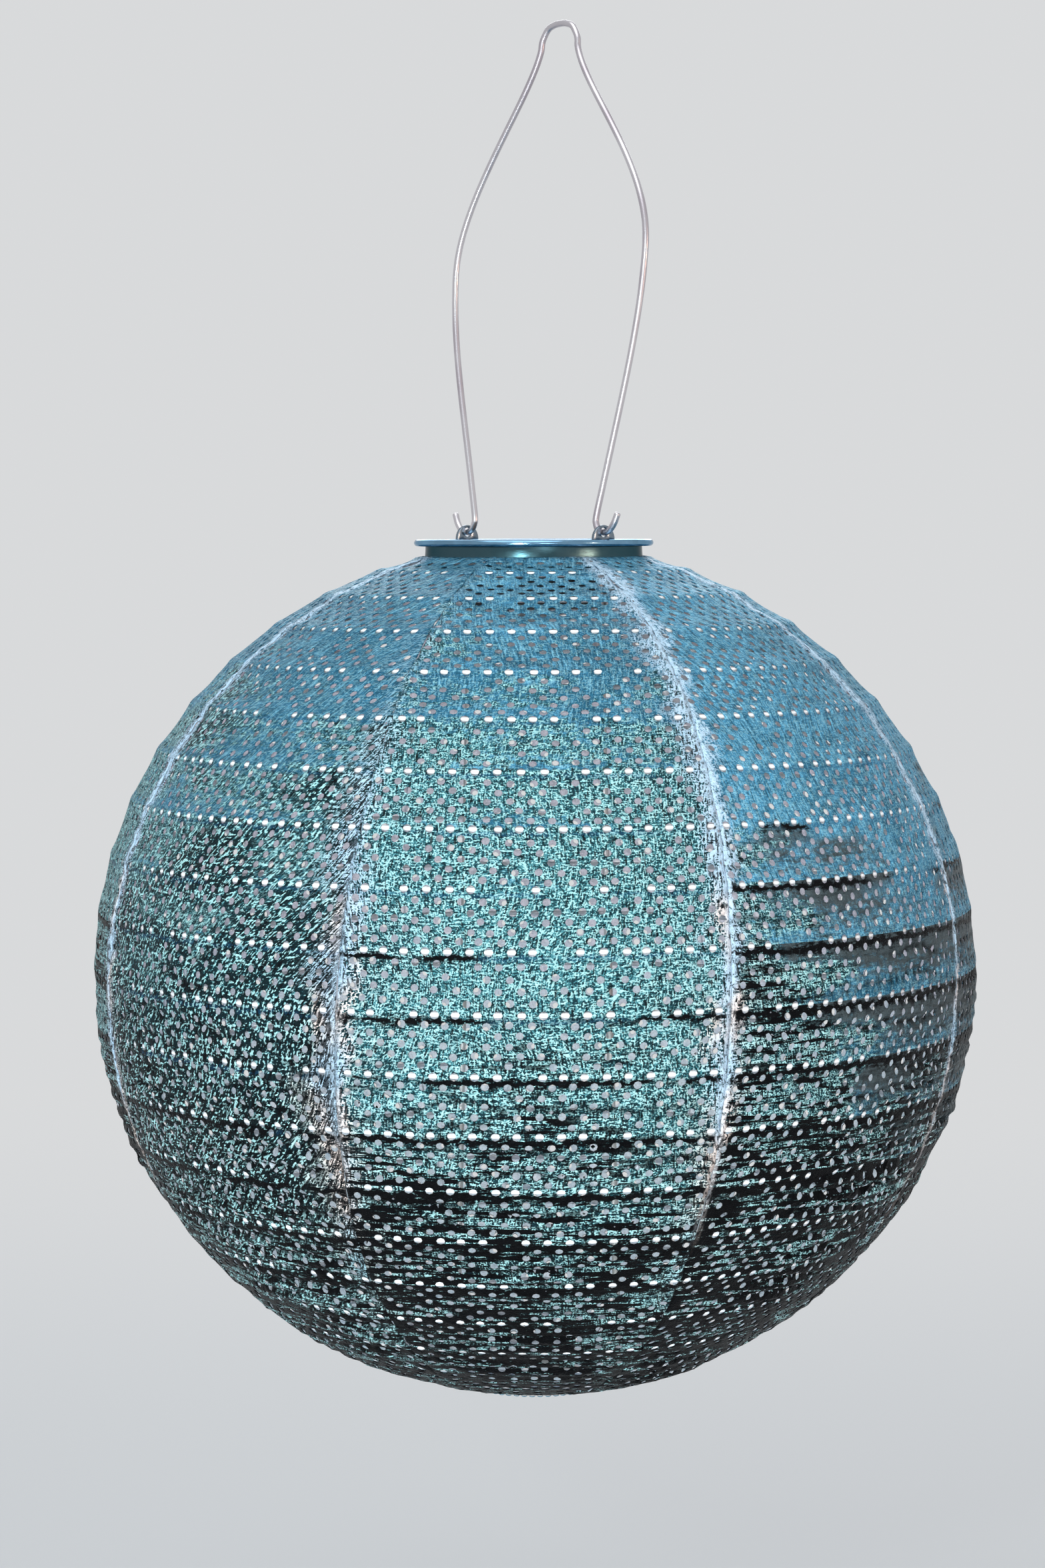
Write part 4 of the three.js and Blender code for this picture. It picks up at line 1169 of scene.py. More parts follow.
# By the same seams: how far they were sewn off their even places, in degrees
SEAM_DRIFT = [4.0, 2.4, 1.2, 0.3, -0.4, 0.2, 1.1, 1.2]
SHADE_TWIST = 2.4  # degrees that the whole shade is wrung by, from its belly up to its top


def seam_distance(across, along):
    """From a place on a gore to its nearer seam, in millimetres."""
    return meridian.half_width_mm(along) - np.abs(across)


def seam_crumpling(across, along, gore):
    """How gritty the cloth is beside its seams, and how raised the seams are, from 0 to 1. Both
    also set the painted highlight there.
    """
    height = height_share(along)
    seam = seam_distance(across, along)
    left, right = gore, (gore + 1) % len(GORES)
    at_left = across < 0
    crumple_highlight = np.where(
        at_left,
        np.interp(height, SEAM_HEIGHTS, SEAM_CRUMPLE_HIGHLIGHT[left]),
        np.interp(height, SEAM_HEIGHTS, SEAM_CRUMPLE_HIGHLIGHT[right]))
    spread = np.where(at_left, SEAM_SPREAD[left][1], SEAM_SPREAD[right][0])
    ragged = 0.95 + 0.65 * lattice_noise(across / 6, along / 11, RAGGED_SEED + gore)
    ragged = np.clip(ragged, 0.3, 2)
    grit = crumple_highlight * unit(1.3 - seam / (spread * ragged))
    ridge = np.where(at_left, SEAM_RIDGE[left], SEAM_RIDGE[right])
    ridge = ridge * crumple_highlight * unit(1.3 - seam / (SEAM_RIDGE_MM * ragged))
    return unit(grit + 0.25 * crumple_highlight * near(seam, 14)), ridge


def thread_lie(p, gore):
    """The flat cloth sheared and drawn about, so that its threads lean and waver."""
    x, y = p[:, 0], p[:, 1]
    shift = -THREAD_LEAN[gore] * y + 6.0 * lattice_noise(x / 42, y / 36, LEAN_SEED + gore)
    rise = 2.0 * lattice_noise(x / 36, y / 42, RISE_SEED + gore)
    return np.stack([x + shift, y + rise], axis=1)


def cloth_relief(across, along, gore):
    """How far the cloth lies in from the ideal globe, in millimetres, and the mask of its fold
    valleys, where shade is painted. The upper bands are drawn tight; lower down the cloth hangs
    slack in folds."""
    rows = meridian.rows(along)
    band, rise = np.floor(rows), rows - np.floor(rows)
    bow = 4 * rise * (1 - rise)  # none at the hoops and most between them
    slack = smooth_share(unit((SLACK_START[gore] - height_share(along)) / 0.75))
    seam = seam_distance(across, along)
    seed = RELIEF_SEED + gore

    hang = 0.50 + 0.30 * lattice_noise(across / 45, band * 3.1, HANG_SEED + gore)
    inset = CLOTH_OVER_HOOP / MM + bow * (SCALLOP_MM + hang * (1 - 0.5 * slack))

    wander = 0.42 * lattice_noise(across / 24, band * 1.7 + 0.3, seed)
    wander = wander + 0.16 * lattice_noise(across / 8, band * 1.7, seed + 1)
    wave = np.abs(np.sin(math.pi * ((1 + 2.0 * slack) * (1 - rise) + wander)))
    patchy = 0.55 + 0.75 * lattice_noise(across / 30, rows * 1.3, seed + 2)
    strength = slack * np.clip(patchy, 0.05, 1.3)
    side_taper = np.clip(seam / 14, 0.25, 1)
    inset = inset - bow ** 0.5 * strength * side_taper * (FOLD_MM * wave ** 0.7 - 0.8)
    fold = unit((0.36 - wave) / 0.2) * unit(2.2 * strength)
    fold = fold * unit(bow * 3) * np.clip(seam / 5, 0.2, 1)

    bend = 0.5 * lattice_noise(along / 40, across / 50, seed + 7)
    fan = lattice_noise(across / 4.6 + bend, along / 55, seed + 4)
    inset = inset + FAN_MM * fan * near(seam, 12) * bow ** 0.5
    crumple = lattice_noise(along / 3.4, across / 5.0, seed + 5)
    inset = inset + CRUMPLE_MM * crumple * near(seam, 4.5) - 0.5 * near(seam, 3.0) * bow
    inset = inset + DIMPLE_MM * lattice_noise(across / 5.5, along / 5.5, seed + 6) * bow
    inset = inset + SEAM_TUCK_MM * near(seam, 0.5)

    over_hoop = 0.72 + 1.1 * np.clip(meridian.from_hoop(along) - 1.1, 0, None)
    return np.clip(inset, -1.5, over_hoop), unit(fold)


def cloth_tones(across, along, gore):
    """Shares of lively thread, painted dark shade, level creases with painted shade, and painted
    sheen, from 0 to 1, over a gore.
    """
    rows = meridian.rows(along)
    height = height_share(along)
    half_width = meridian.half_width_mm(along)
    seam = half_width - np.abs(across)
    banks = lattice_noise(across / 38, rows * 0.9, BANK_SEED + gore)
    banks = banks + 0.8 * lattice_noise(across / 12, rows * 2.6, SMALL_BANK_SEED + gore)
    over_hoop = (rows - np.floor(rows)) * (meridian.length / len(meridian.hoops))
    thread = (THREAD_START[gore] - height) / 0.40 + 0.26 * banks + 0.5 * near(seam, 9)
    thread = thread - 0.75 * near(over_hoop, 3.2) * unit((height + 0.10) / 0.3)
    if gore in SMOOTH_SIDE:
        side = across / half_width if SMOOTH_SIDE[gore] == "right" else np.ones(len(across))
        side = side + 0.45 * lattice_noise(across / 16, rows * 2.1, SMOOTH_SEED)
        thread = thread - 1.3 * unit((side + 0.65) / 0.9) * unit((height + 0.9) / 0.4)
    # Painted shade, deeper lower down and deepest at the foot
    shade = (SHADE_START[gore] - height) / 1.05 + 0.20 * banks
    shade = shade + 0.5 * unit((-0.62 - height) / 0.2)
    crease = (CREASE_START[gore] - height) / 0.90 + 0.20 * banks
    mottle = 0.5 * lattice_noise(across / 9, along / 9, LINING_SEED)
    lining = (height - LINING_DARK[gore]) / 0.22 + mottle
    sheen = SHEEN[gore] + 0.35 * banks - 0.8 * unit((0.30 - height) / 0.55)
    return {
        "thread_share": np.clip(thread, -0.3, 1.3),
        "shade_share": unit(shade),
        "crease_share": unit(crease),
        "sheen_share": unit(sheen),
        "lining_shade": np.clip(lining, 0, 0.9),
    }


def on_globe(across, along, inset_mm, turn):
    """Places the flat cloth on the globe."""
    radius, height, out, up = meridian.at(along)
    angle = turn + across * MM / radius
    seams = (np.arange(len(GORES)) - 0.5) * GORE_TURN
    drift = np.interp(angle, seams, np.radians(SEAM_DRIFT), period=2 * math.pi)
    angle = angle + drift + math.radians(SHADE_TWIST) * height_share(along)
    reach = radius - inset_mm * MM * out
    return np.stack([
        reach * np.cos(angle), reach * np.sin(angle) + axis_xy.y, height - inset_mm * MM * up,
    ], axis=1)


# The corners of a rhombus cell and the middles of its sides, in half steps of columns and rows
AROUND_CELL = [(2, 0), (1, 1), (0, 2), (-1, 1), (-2, 0), (-1, -1), (0, -2), (1, -1)]
SLIVER_MM2 = 0.004


def rhombus_cells(columns, rows):
    """Cells in staggered rows: flat places, the eight places round each cell, and middles."""
    places, index = [], {}

    def corner(a, b):
        if (a, b) not in index:
            index[a, b] = len(places)
            places.append((a * COLUMN_MM / 2, b * ROW_MM / 2))
        return index[a, b]

    cells = [(i, j) for j in range(rows[0], rows[1] + 1)
             for i in range(columns[0], columns[1] + 1) if (i + j) % 2 == 0]
    rings = [[corner(2 * i + a, 2 * j + b) for a, b in AROUND_CELL] for i, j in cells]
    middles = [(i * COLUMN_MM, j * ROW_MM) for i, j in cells]
    return np.array(places, float), rings, np.array(middles, float)


def punched_holes(middles, seed, steady):
    """Round holes, a little uneven in place and size. Returns their middles and edges."""
    x, y = middles[:, 0], middles[:, 1]
    jitter = np.stack([lattice_noise(x * 7.3, y * 7.1, JITTER_SEEDS[0] + seed),
                       lattice_noise(x * 6.7, y * 7.9, JITTER_SEEDS[1] + seed)], axis=1)
    size = HOLE_RADIUS_MM * (1 + 0.05 * lattice_noise(x * 5, y * 5, seed))
    if steady is not None:
        held = steady(y)
        jitter[:, 1] *= held
        size = size * (1.13 - 0.13 * held)
    middles = middles + HOLE_JITTER_MM * jitter
    angles = full_turn(len(AROUND_CELL))
    circle = np.stack([np.cos(angles), np.sin(angles)], axis=1)
    return middles, middles[:, None] + size[:, None, None] * circle[None]


def cell_faces(ring, hole, middle):
    """A cell with a hole, or a plain one about its middle."""
    count = len(ring)
    if hole:
        pairs = [(k, (k + 1) % count) for k in range(count)]
        return [(ring[a], ring[b], hole[b], hole[a]) for a, b in pairs]
    return [(ring[k - 1], ring[k], ring[k + 1], middle) for k in range(0, count, 2)]


def signed_area(p):
    """Over zero where the outline runs counter-clockwise."""
    q = np.roll(p, -1, axis=0)
    return float((p[:, 0] * q[:, 1] - p[:, 1] * q[:, 0]).sum() / 2)


def welded(flat, faces):
    """Joins places that lie together, and drops slivers and unused places."""
    _, first, same = np.unique(np.round(flat, 3), axis=0, return_index=True, return_inverse=True)
    same, flat = same.ravel(), flat[first]
    faces = [list(dict.fromkeys(int(same[v]) for v in face)) for face in faces]
    faces = [f for f in faces if len(f) >= 3 and signed_area(flat[f]) > SLIVER_MM2]
    used = np.unique(np.concatenate([np.array(f) for f in faces]))
    renumber = {int(v): k for k, v in enumerate(used)}
    return flat[used], [[renumber[v] for v in f] for f in faces]


def free_edges(faces):
    """Edges of one face only, as hole edges and the outline are."""
    edges = {(a, b): True for f in faces for a, b in zip(f, f[1:] + f[:1])}
    return [(a, b) for a, b in edges if (b, a) not in edges]


def punched_cloth(columns, rows, keep_hole, warp, clamp, seed, steady=None):
    """The flat cloth as a mesh of rhombus cells with round holes: its places and faces."""
    places, rings, middles = rhombus_cells(columns, rows)
    places, middles = places + warp(places), middles + warp(middles)
    middles, holes = punched_holes(middles, seed, steady)
    open_cell = keep_hole(middles)
    flat = clamp(np.vstack([places, holes.reshape(-1, 2), middles]))
    sides = len(AROUND_CELL)
    first_hole = len(places)
    first_middle = first_hole + len(middles) * sides
    faces = []
    for n, ring in enumerate(rings):
        hole = [first_hole + sides * n + k for k in range(sides)] if open_cell[n] else None
        faces += cell_faces(ring, hole, first_middle + n)
    return welded(flat, faces)


def unwrapped(flat, face, half_width_mm, foot, per_mm, lining, margin=0.0):
    """A face's place in the baked map: the outer side in its left half, the lining in its right.
    Margin keeps the cut edges from having no area there."""
    p = flat[face]
    u = 0.25 + 0.24 * p[:, 0] / half_width_mm + 0.5 * lining
    return np.stack([u + margin, foot + per_mm * p[:, 1]], axis=1)


def dressed_cloth(name, flat, faces, surface, facts, threads, map_frame):
    """A thin closed cloth from its flat mesh. Surface places flat points at a depth, facts are
    numbers for each flat point, and threads is how the weave lies on the flat cloth."""
    count = len(flat)
    free = free_edges(faces)
    backs = [f[::-1] for f in faces]
    walls = [[b, a, a, b] for a, b in free]
    quads = faces + [[v + count for v in f] for f in backs]
    quads += [[b, a, a + count, b + count] for a, b in free]
    points = np.vstack([surface(0.0), surface(CLOTH_SHEET / MM)])
    slots = [0] * len(faces) + [1] * len(faces) + [0] * len(free)
    piece = new_piece(name, points, quads, [finishes["cloth"], finishes["lining"]], None, slots)
    mesh = piece.data
    for label, values in facts.items():
        layer = mesh.attributes.new(label, "FLOAT", "POINT")
        layer.data.foreach_set("value", np.tile(values, 2).astype(np.float32))
    corners = np.zeros(len(mesh.loops), np.int32)
    mesh.loops.foreach_get("vertex_index", corners)
    margin = np.array([0, 0, CUT_EDGE_MARGIN, CUT_EDGE_MARGIN])
    baked = [unwrapped(flat, f, *map_frame, 0) for f in faces]
    baked += [unwrapped(flat, f, *map_frame, 1) for f in backs]
    baked += [unwrapped(flat, f, *map_frame, 0, margin) for f in walls]
    maps = {
        "OFBake": np.vstack(baked),
        "Flat": np.vstack([flat, flat])[corners],
        "Threads": np.vstack([threads, threads])[corners],
    }
    for label, places in maps.items():
        layer = mesh.uv_layers.new(name=label)
        layer.data.foreach_set("uv", places.astype(np.float32).ravel())
    mesh.update()
    return piece


def cloth_area(flat, faces):
    """In square metres, less the holes."""
    return sum(signed_area(flat[f]) for f in faces) * MM * MM


def hole_pattern(gore):
    """Which cells are punched: nearly all, with a few plain breaks, clear of the edges."""
    def keep(middles):
        x, y = middles[:, 0], middles[:, 1]
        clear = HOLE_RADIUS_MM + SEAM_MARGIN_MM
        inside = (seam_distance(x, y) > clear) & (y > clear + 0.6) & (
            y < meridian.length - clear - 1.0)
        plain = lattice_noise(x / 7, y / 4.5 + gore * 5, PLAIN_SEED + gore) > 0.60
        missed = lattice_noise(x * 6.1, y * 6.7, MISSED_SEED + gore) > 0.80
        return inside & ~plain & ~missed
    return keep


def punched_gore(index):
    """One flat gore, unevenly punched by hand, but with a row of holes along each hoop."""
    seed = WARP_SEED + index
    rows_met = meridian.hoops - 0.85 * height_share(meridian.hoops)
    beyond = [-20, meridian.length + 20]

    def loose_share(y):
        nearest = np.min(np.abs(y[:, None] - rows_met[None]), axis=1)
        return 1 - 0.93 * near((nearest / 2.4) ** 2, 1)

    def wander(p, wide, high, seed):
        x, y = p[:, 0], p[:, 1]
        broad = lattice_noise(x / wide, y / high, seed)
        return 0.9 * broad + 0.45 * lattice_noise(x / 11, y / 11, seed + 1)

    def warp(p):
        y = p[:, 1]
        from_rows = np.sort([*np.round(meridian.hoops / ROW_MM) * ROW_MM, *beyond])
        met = np.interp(y, from_rows, np.sort([*rows_met, *beyond])) - y
        return np.stack([
            wander(p, 38, 46, seed),
            met + loose_share(y + met) * wander(p, 46, 38, seed + 2),
        ], axis=1)

    def clamp(p):
        y = np.clip(p[:, 1], 0, meridian.length)
        limit = meridian.half_width_mm(y)
        return np.stack([np.clip(p[:, 0], -limit, limit), y], axis=1)

    columns = int(gore_half_width() / COLUMN_MM) + 2
    rows = int(meridian.length / ROW_MM) + 2
    return punched_cloth(
        (-columns, columns), (-1, rows), hole_pattern(index), warp, clamp, index, loose_share)


def gore_half_width():
    """In millimetres, at its widest."""
    return float(meridian.half_width_mm(meridian.length / 2))


def make_gore(index):
    flat, faces = punched_gore(index)
    across, along = flat[:, 0], flat[:, 1]
    relief, fold = cloth_relief(across, along, index)
    grit, ridge = seam_crumpling(across, along, index)
    facts = {
        "seam_distance": seam_distance(across, along),
        "hoop_rows": meridian.rows(along),
        "fold_depth": fold,
        "height_share": height_share(along),
        "seam_grit": grit,
        "seam_ridge": ridge,
        **cloth_tones(across, along, index),
    }

    def surface(depth_mm):
        return on_globe(across, along, relief + depth_mm, index * GORE_TURN)

    map_frame = (gore_half_width() + 2, 0.01, 0.98 / meridian.length)
    piece = dressed_cloth(f"gore_cloth_{index + 1}", flat, faces, surface, facts,
                          thread_lie(flat, index), map_frame)
    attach(piece, "globe")
    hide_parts(GORES[index])
    area = cloth_area(flat, faces)
    width = 2 * gore_half_width() * MM


PATCH_EDGE_MM = patch_radius / MM + 1.3
PATCH_FACTS = {
    "hoop_rows": 0.4,
    "fold_depth": 0.0,
    "thread_share": 0.8,
    "shade_share": 0.9,
    "crease_share": 0.6,
    "sheen_share": 0.3,
    "lining_shade": 0.0,
    "seam_grit": 0.0,
    "seam_ridge": 0.0,
    "height_share": -0.96,
}


def punched_patch():
    """The flat round patch."""
    def warp(p):
        return 0.3 * np.stack(
            [lattice_noise(p[:, 0] / 12, p[:, 1] / 12, seed) for seed in PATCH_WARP_SEEDS],
            axis=1)

    def clamp(p):
        r = np.linalg.norm(p, axis=1)
        return p * np.minimum(1, PATCH_EDGE_MM / np.maximum(r, 1e-9))[:, None]

    def keep(middles):
        return np.linalg.norm(middles, axis=1) < PATCH_EDGE_MM - HOLE_RADIUS_MM - 3.2

    reach = int(PATCH_EDGE_MM / COLUMN_MM) + 2
    return punched_cloth((-reach, reach), (-reach, reach), keep, warp, clamp, PATCH_SEED)


def make_patch():
    """The round patch that closes the bottom, sewn over the ends of the gores."""
    flat, faces = punched_patch()
    x, y = flat[:, 0], flat[:, 1]
    out = np.linalg.norm(flat, axis=1)

    def surface(depth_mm):
        r = out * MM
        turn = np.arctan2(y, x)
        drop = globe_half_height * np.sqrt(np.maximum(0, 1 - (r / globe_radius) ** 2))
        rim_lift = near(PATCH_EDGE_MM * MM - r, 0.8 * MM)
        ripple = 0.12 * lattice_noise(x / 5, y / 5, PATCH_RIPPLE_SEED)
        z = globe_centre_z - drop + (0.15 + depth_mm + ripple + 0.25 * rim_lift) * MM
        return np.stack([r * np.cos(turn), axis_xy.y - r * np.sin(turn), z], axis=1)

    facts = {label: np.full(len(flat), value) for label, value in PATCH_FACTS.items()}
    facts["seam_distance"] = PATCH_EDGE_MM - out
    map_frame = (PATCH_EDGE_MM, 0.5, 0.48 / PATCH_EDGE_MM)
    piece = dressed_cloth("patch_cloth", flat, faces, surface, facts, flat, map_frame)
    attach(piece, "globe")
    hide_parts("bottom_patch")
    cloth_area(flat, faces)


WELD_LENGTH = 9 * MM
WELD_SWELL = 0.14
HOOP_WOBBLE = 0.0012


def make_hoop(index):
    """One coated wire hoop, a little thicker where its ends are butt welded."""
    radius = hoop_radii[index]
    angles = full_turn(144)
    weld = math.radians(100 + 37 * index)
    gap = np.abs((angles - weld + math.pi) % (2 * math.pi) - math.pi) * radius
    thick = HOOP_WIRE / 2 * (1 + WELD_SWELL * near((gap / (WELD_LENGTH / 2)) ** 2, 1))
    wobble = 1 + HOOP_WOBBLE * np.sin(3 * angles + index)
    path = level_ring(radius * wobble, hoop_heights[index], angles)
    piece = wire(HOOPS_SHOWN[index], path, thick, finishes["coated"], sides=10, closed=True)
    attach(piece, "globe")
    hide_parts(HOOPS[index])


STITCHES = 56
STITCH_REACH = 0.9 * MM
STITCH_THREAD = 0.16 * MM  # its radius


def stitch(index):
    """One stitch through the patch's edge: its mesh's points and quads."""
    turn = 2 * math.pi * index / STITCHES
    r = patch_radius + 0.1 * MM + 0.25 * MM * math.sin(index * 2.1)
    z = globe_centre_z - globe_half_height * math.sqrt(1 - (r / globe_radius) ** 2)
    s = np.linspace(-1, 1, 7)
    line = level_ring(r, z, turn + s * STITCH_REACH / r)
    line[:, 2] += 0.10 * MM - 0.25 * MM * (1 - s ** 4)
    _, across, other = wire_frames(line, False)
    angles = np.tile(full_turn(6), (len(s), 1))
    loops = wire_loops(line, np.full(len(s), STITCH_THREAD), across, other, angles)
    return lofted(loops, capped=True)


def make_patch_stitches():
    """A ring of stitches that holds the patch."""
    points, faces = [], []
    for index in range(STITCHES):
        stitch_points, quads = stitch(index)
        faces += [tuple(v + len(points) for v in quad) for quad in quads]
        points += list(stitch_points)
    piece = new_piece("patch_stitches", points, faces, [finishes["thread"]])
    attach(piece, "globe")


def make_shade():
    for index in range(len(HOOPS)):
        make_hoop(index)
    for index in range(len(GORES)):
        make_gore(index)
    make_patch()
    make_patch_stitches()


# ---------- Neck, rim and ears. Heights are millimetres from the top of the rim ----------

RIM_RADIUS = 40.48
NECK_RADIUS = 37.38
WELL_RADIUS = 29.0
LEDGE_RADIUS = 25.6
RIM_SHEET = 1.2
RIM_BEAD = 1.15  # radius of its rolled edge
LEDGE_TOP = -3.5


def heights_mm(node):
    """A node's lowest and highest place, in millimetres from the top of the rim."""
    return [(place.z - rim_top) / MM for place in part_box(node)]


def make_rim():
    """A flat ring with a rolled edge, stepped down inside to a ledge for the lamp unit."""
    edge = [(RIM_RADIUS - RIM_BEAD + RIM_BEAD * math.cos(a), -RIM_BEAD + RIM_BEAD * math.sin(a))
            for a in np.radians(np.linspace(-165, 90, 18))]
    flat_end = RIM_RADIUS - 2.6
    low = [
        (LEDGE_RADIUS, LEDGE_TOP - 1), (WELL_RADIUS + 1, LEDGE_TOP - 1),
        (WELL_RADIUS + 1, -RIM_SHEET), (flat_end, -RIM_SHEET),
    ]
    high = [
        (flat_end, -0.05), (WELL_RADIUS + 1.4, -0.05), (WELL_RADIUS, -0.7),
        (WELL_RADIUS, LEDGE_TOP), (LEDGE_RADIUS, LEDGE_TOP),
    ]
    radii = [0.2, 0.8, 0.5, 0] + [0] * len(edge) + [0, 0.8, 0.5, 0.3, 0.2]
    rim = revolved("rim_ring", filleted(low + edge + high, radii), finishes["steel"])
    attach(rim, "globe")
    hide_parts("rim")


EAR_RADIUS = 34.28
EAR_THICK = 1.2
EAR_HOLE_RADIUS = 1.6
EAR_ROOT = -0.5
EAR_EASE = 0.22  # of its edges


def ear_outline(angles):
    """Half round about the ear line's foot, and cut off level at its root."""
    hole_z, big = EAR_LINE_HEIGHT / MM, EAR_HEIGHT / MM
    outline = []
    for a in angles:
        dy, dz = math.cos(a), math.sin(a)
        b = hole_z * dz
        reach = -b + math.sqrt(b * b - hole_z ** 2 + big ** 2)
        if hole_z + reach * dz < EAR_ROOT:
            reach = (EAR_ROOT - hole_z) / dz
        outline.append((reach * dy, hole_z + reach * dz))
    return np.array(outline)


def make_ear(name, side):
    """A half-round tab across the ear line, with a hole for the bail and rounded edges."""
    angles = full_turn(64)
    middle = np.array([0, EAR_LINE_HEIGHT / MM])
    outline = ear_outline(angles)
    hole = middle + EAR_HOLE_RADIUS * np.stack([np.cos(angles), np.sin(angles)], axis=1)

    def grown(ring, by):
        spoke = ring - middle
        return ring + spoke / np.linalg.norm(spoke, axis=1)[:, None] * by

    half, ease = EAR_THICK / 2, EAR_EASE
    left_face = [
        (hole, -half + ease), (grown(hole, 0.08), -half + 0.08), (grown(hole, ease), -half),
        (grown(outline, -ease), -half), (grown(outline, -0.07), -half + 0.07),
        (outline, -half + ease),
    ]
    right_face = [(ring, -x) for ring, x in reversed(left_face)]
    loops = [
        np.stack([
            np.full(len(ring), (side * EAR_RADIUS + x)) * MM,
            ring[:, 0] * MM + axis_xy.y,
            ring[:, 1] * MM + rim_top,
        ], axis=1)
        for ring, x in left_face + right_face
    ]
    points, faces = lofted(loops, closed_path=True)
    ear = new_piece(name, points, faces, [finishes["ear"]], 50)
    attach(ear, "globe")
    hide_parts("rim")


NECK_WAIST = 0.75  # how far it draws in from its foot to its top


def make_neck():
    """A band that draws in over the lip at its foot."""
    bottom, top = heights_mm("neck_band")
    lip = node_size("neck_band").x / 2 / MM
    lip_top = bottom + 1
    waist = [(NECK_RADIUS - NECK_WAIST * (1 - (1 - s) ** 2.4), lip_top + (top - lip_top) * s)
             for s in np.linspace(0, 1, 25)]
    outline = [(NECK_RADIUS - 1, bottom), (lip, bottom), (lip, lip_top)] + waist
    outline += [(r - 1, z) for r, z in reversed(waist[1:])]
    radii = [0.2, 0.4, 0.4] + [0] * (len(outline) - 3)
    band = revolved("neck_ring", filleted(outline, radii), finishes["neck"])
    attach(band, "globe")
    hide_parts("neck_band")


HEM_WIRE_RADIUS = 1.1 * MM


def make_hem_ring():
    radius = node_size("hem_ring").x / 2 - HEM_WIRE_RADIUS
    path = level_ring(radius, node_centre("hem_ring").z, full_turn(120))
    ring = wire("hem_wire", path, HEM_WIRE_RADIUS, finishes["coated"], closed=True)
    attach(ring, "globe")
    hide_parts("hem_ring")


STRETCHER_WIRE_RADIUS = 1.25 * MM
STRETCHER_BEND = 4 * MM
STRETCHER_IN = 3.65 * MM  # from the neck's outside to the stretcher's shoulders
FOOT_PAST_HOOP = 2.8 * MM


def make_stretcher():
    """The prop wire: hooked over the neck's lip, down both sides and across the lowest hoop."""
    low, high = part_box("stretcher")
    bend = STRETCHER_BEND
    hook = high.z - STRETCHER_WIRE_RADIUS
    bar = low.z + STRETCHER_WIRE_RADIUS
    shoulder = NECK_RADIUS * MM - STRETCHER_IN - STRETCHER_WIRE_RADIUS
    foot = hoop_radii[0] + FOOT_PAST_HOOP
    quarter = np.radians([0, 22, 45, 68, 90])
    corner = [(shoulder + bend - bend * math.sin(a), hook - bend + bend * math.cos(a))
              for a in quarter]
    leg_top, leg_foot = hook - bend, bar + bend
    leg = [(shoulder + (foot - shoulder) * s, leg_top + (leg_foot - leg_top) * s)
           for s in (0.12, 0.3, 0.5, 0.7, 0.88)]
    turn = [(foot - bend + bend * math.cos(a), bar + bend - bend * math.sin(a))
            for a in quarter]
    half = [(high.x, hook), ((high.x + shoulder + bend) / 2, hook)] + corner + leg + turn
    half += [(foot * 0.4, bar), (0, bar)]
    route = half + [(-x, z) for x, z in reversed(half[:-1])]
    path = smooth_path([(x, axis_xy.y, z) for x, z in route], 5)
    piece = wire("stretcher_wire", path, STRETCHER_WIRE_RADIUS, finishes["spring"])
    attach(piece, "globe")
    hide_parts("stretcher")


def make_collar():
    make_rim()
    make_ear("ear_right", 1)
    make_ear("ear_left", -1)
    make_neck()
    make_hem_ring()
    make_stretcher()


# ---------- Bail. Rises are millimetres over the ear line ----------

BAIL_WIRE = 2.2
BAIL_LEAN = math.radians(4.3)
HOOK_IN, HOOK_OUT, HOOK_RISE = 3.7, 6.4, 5.9
BELLY_HALF_WIDTH = 47.2
BELLY_RISES = (95.0, 89.0)  # on the right and on the left, as it was bent by hand
CREST = 170.4 + BAIL_WIRE / 2
CROWN_HALF_WIDTH = 8.6
CROWN_DROP = 5.2


def bail_arm(belly_rise):
    """From the tip of one hook up to the crest, as [across, rise] pairs."""
    ear, inset, reach, rise = EAR_RADIUS, HOOK_IN, HOOK_OUT, HOOK_RISE
    crown, drop = CROWN_HALF_WIDTH, CROWN_DROP
    foot, foot_rise = ear - inset, rise * 0.9
    hook = [
        (ear + reach, rise), (ear + reach * 0.78, rise * 0.5), (ear + reach * 0.42, rise * 0.08),
        (ear, 0), (ear - inset * 0.62, rise * 0.12), (ear - inset * 0.95, rise * 0.46),
    ]
    belly = (BELLY_HALF_WIDTH, belly_rise)
    leg = bezier((foot, foot_rise), (foot + 8.2, foot_rise + 36),
                 (BELLY_HALF_WIDTH, belly_rise - 26), belly, 12)
    shoulder = bezier(belly, (BELLY_HALF_WIDTH, belly_rise + 28), (crown, CREST - drop - 15),
                      (crown, CREST - drop), 14)
    top = [(crown * 0.72, CREST - drop * 0.3), (crown * 0.38, CREST - drop * 0.06), (0, CREST)]
    return hook + [tuple(p) for p in leg] + [tuple(p) for p in shoulder[1:]] + top


def make_bail():
    """Bent by hand from one polished wire, hooked outwards through both ears."""
    right, left = (bail_arm(rise) for rise in BELLY_RISES)
    route = right + [(-x, z) for x, z in reversed(left[:-1])]
    path = smooth_path([(x, 0, z) for x, z in route], 6) * MM
    path[:, 1] = path[:, 2] * math.sin(BAIL_LEAN)
    path[:, 2] = path[:, 2] * math.cos(BAIL_LEAN)
    piece = wire("bail_wire", path + np.array(ear_line), BAIL_WIRE / 2 * MM, finishes["bail"], 20)
    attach(piece, "bail")
    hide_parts("bail")


# ---------- Lamp unit. Heights are millimetres from the top of the rim ----------

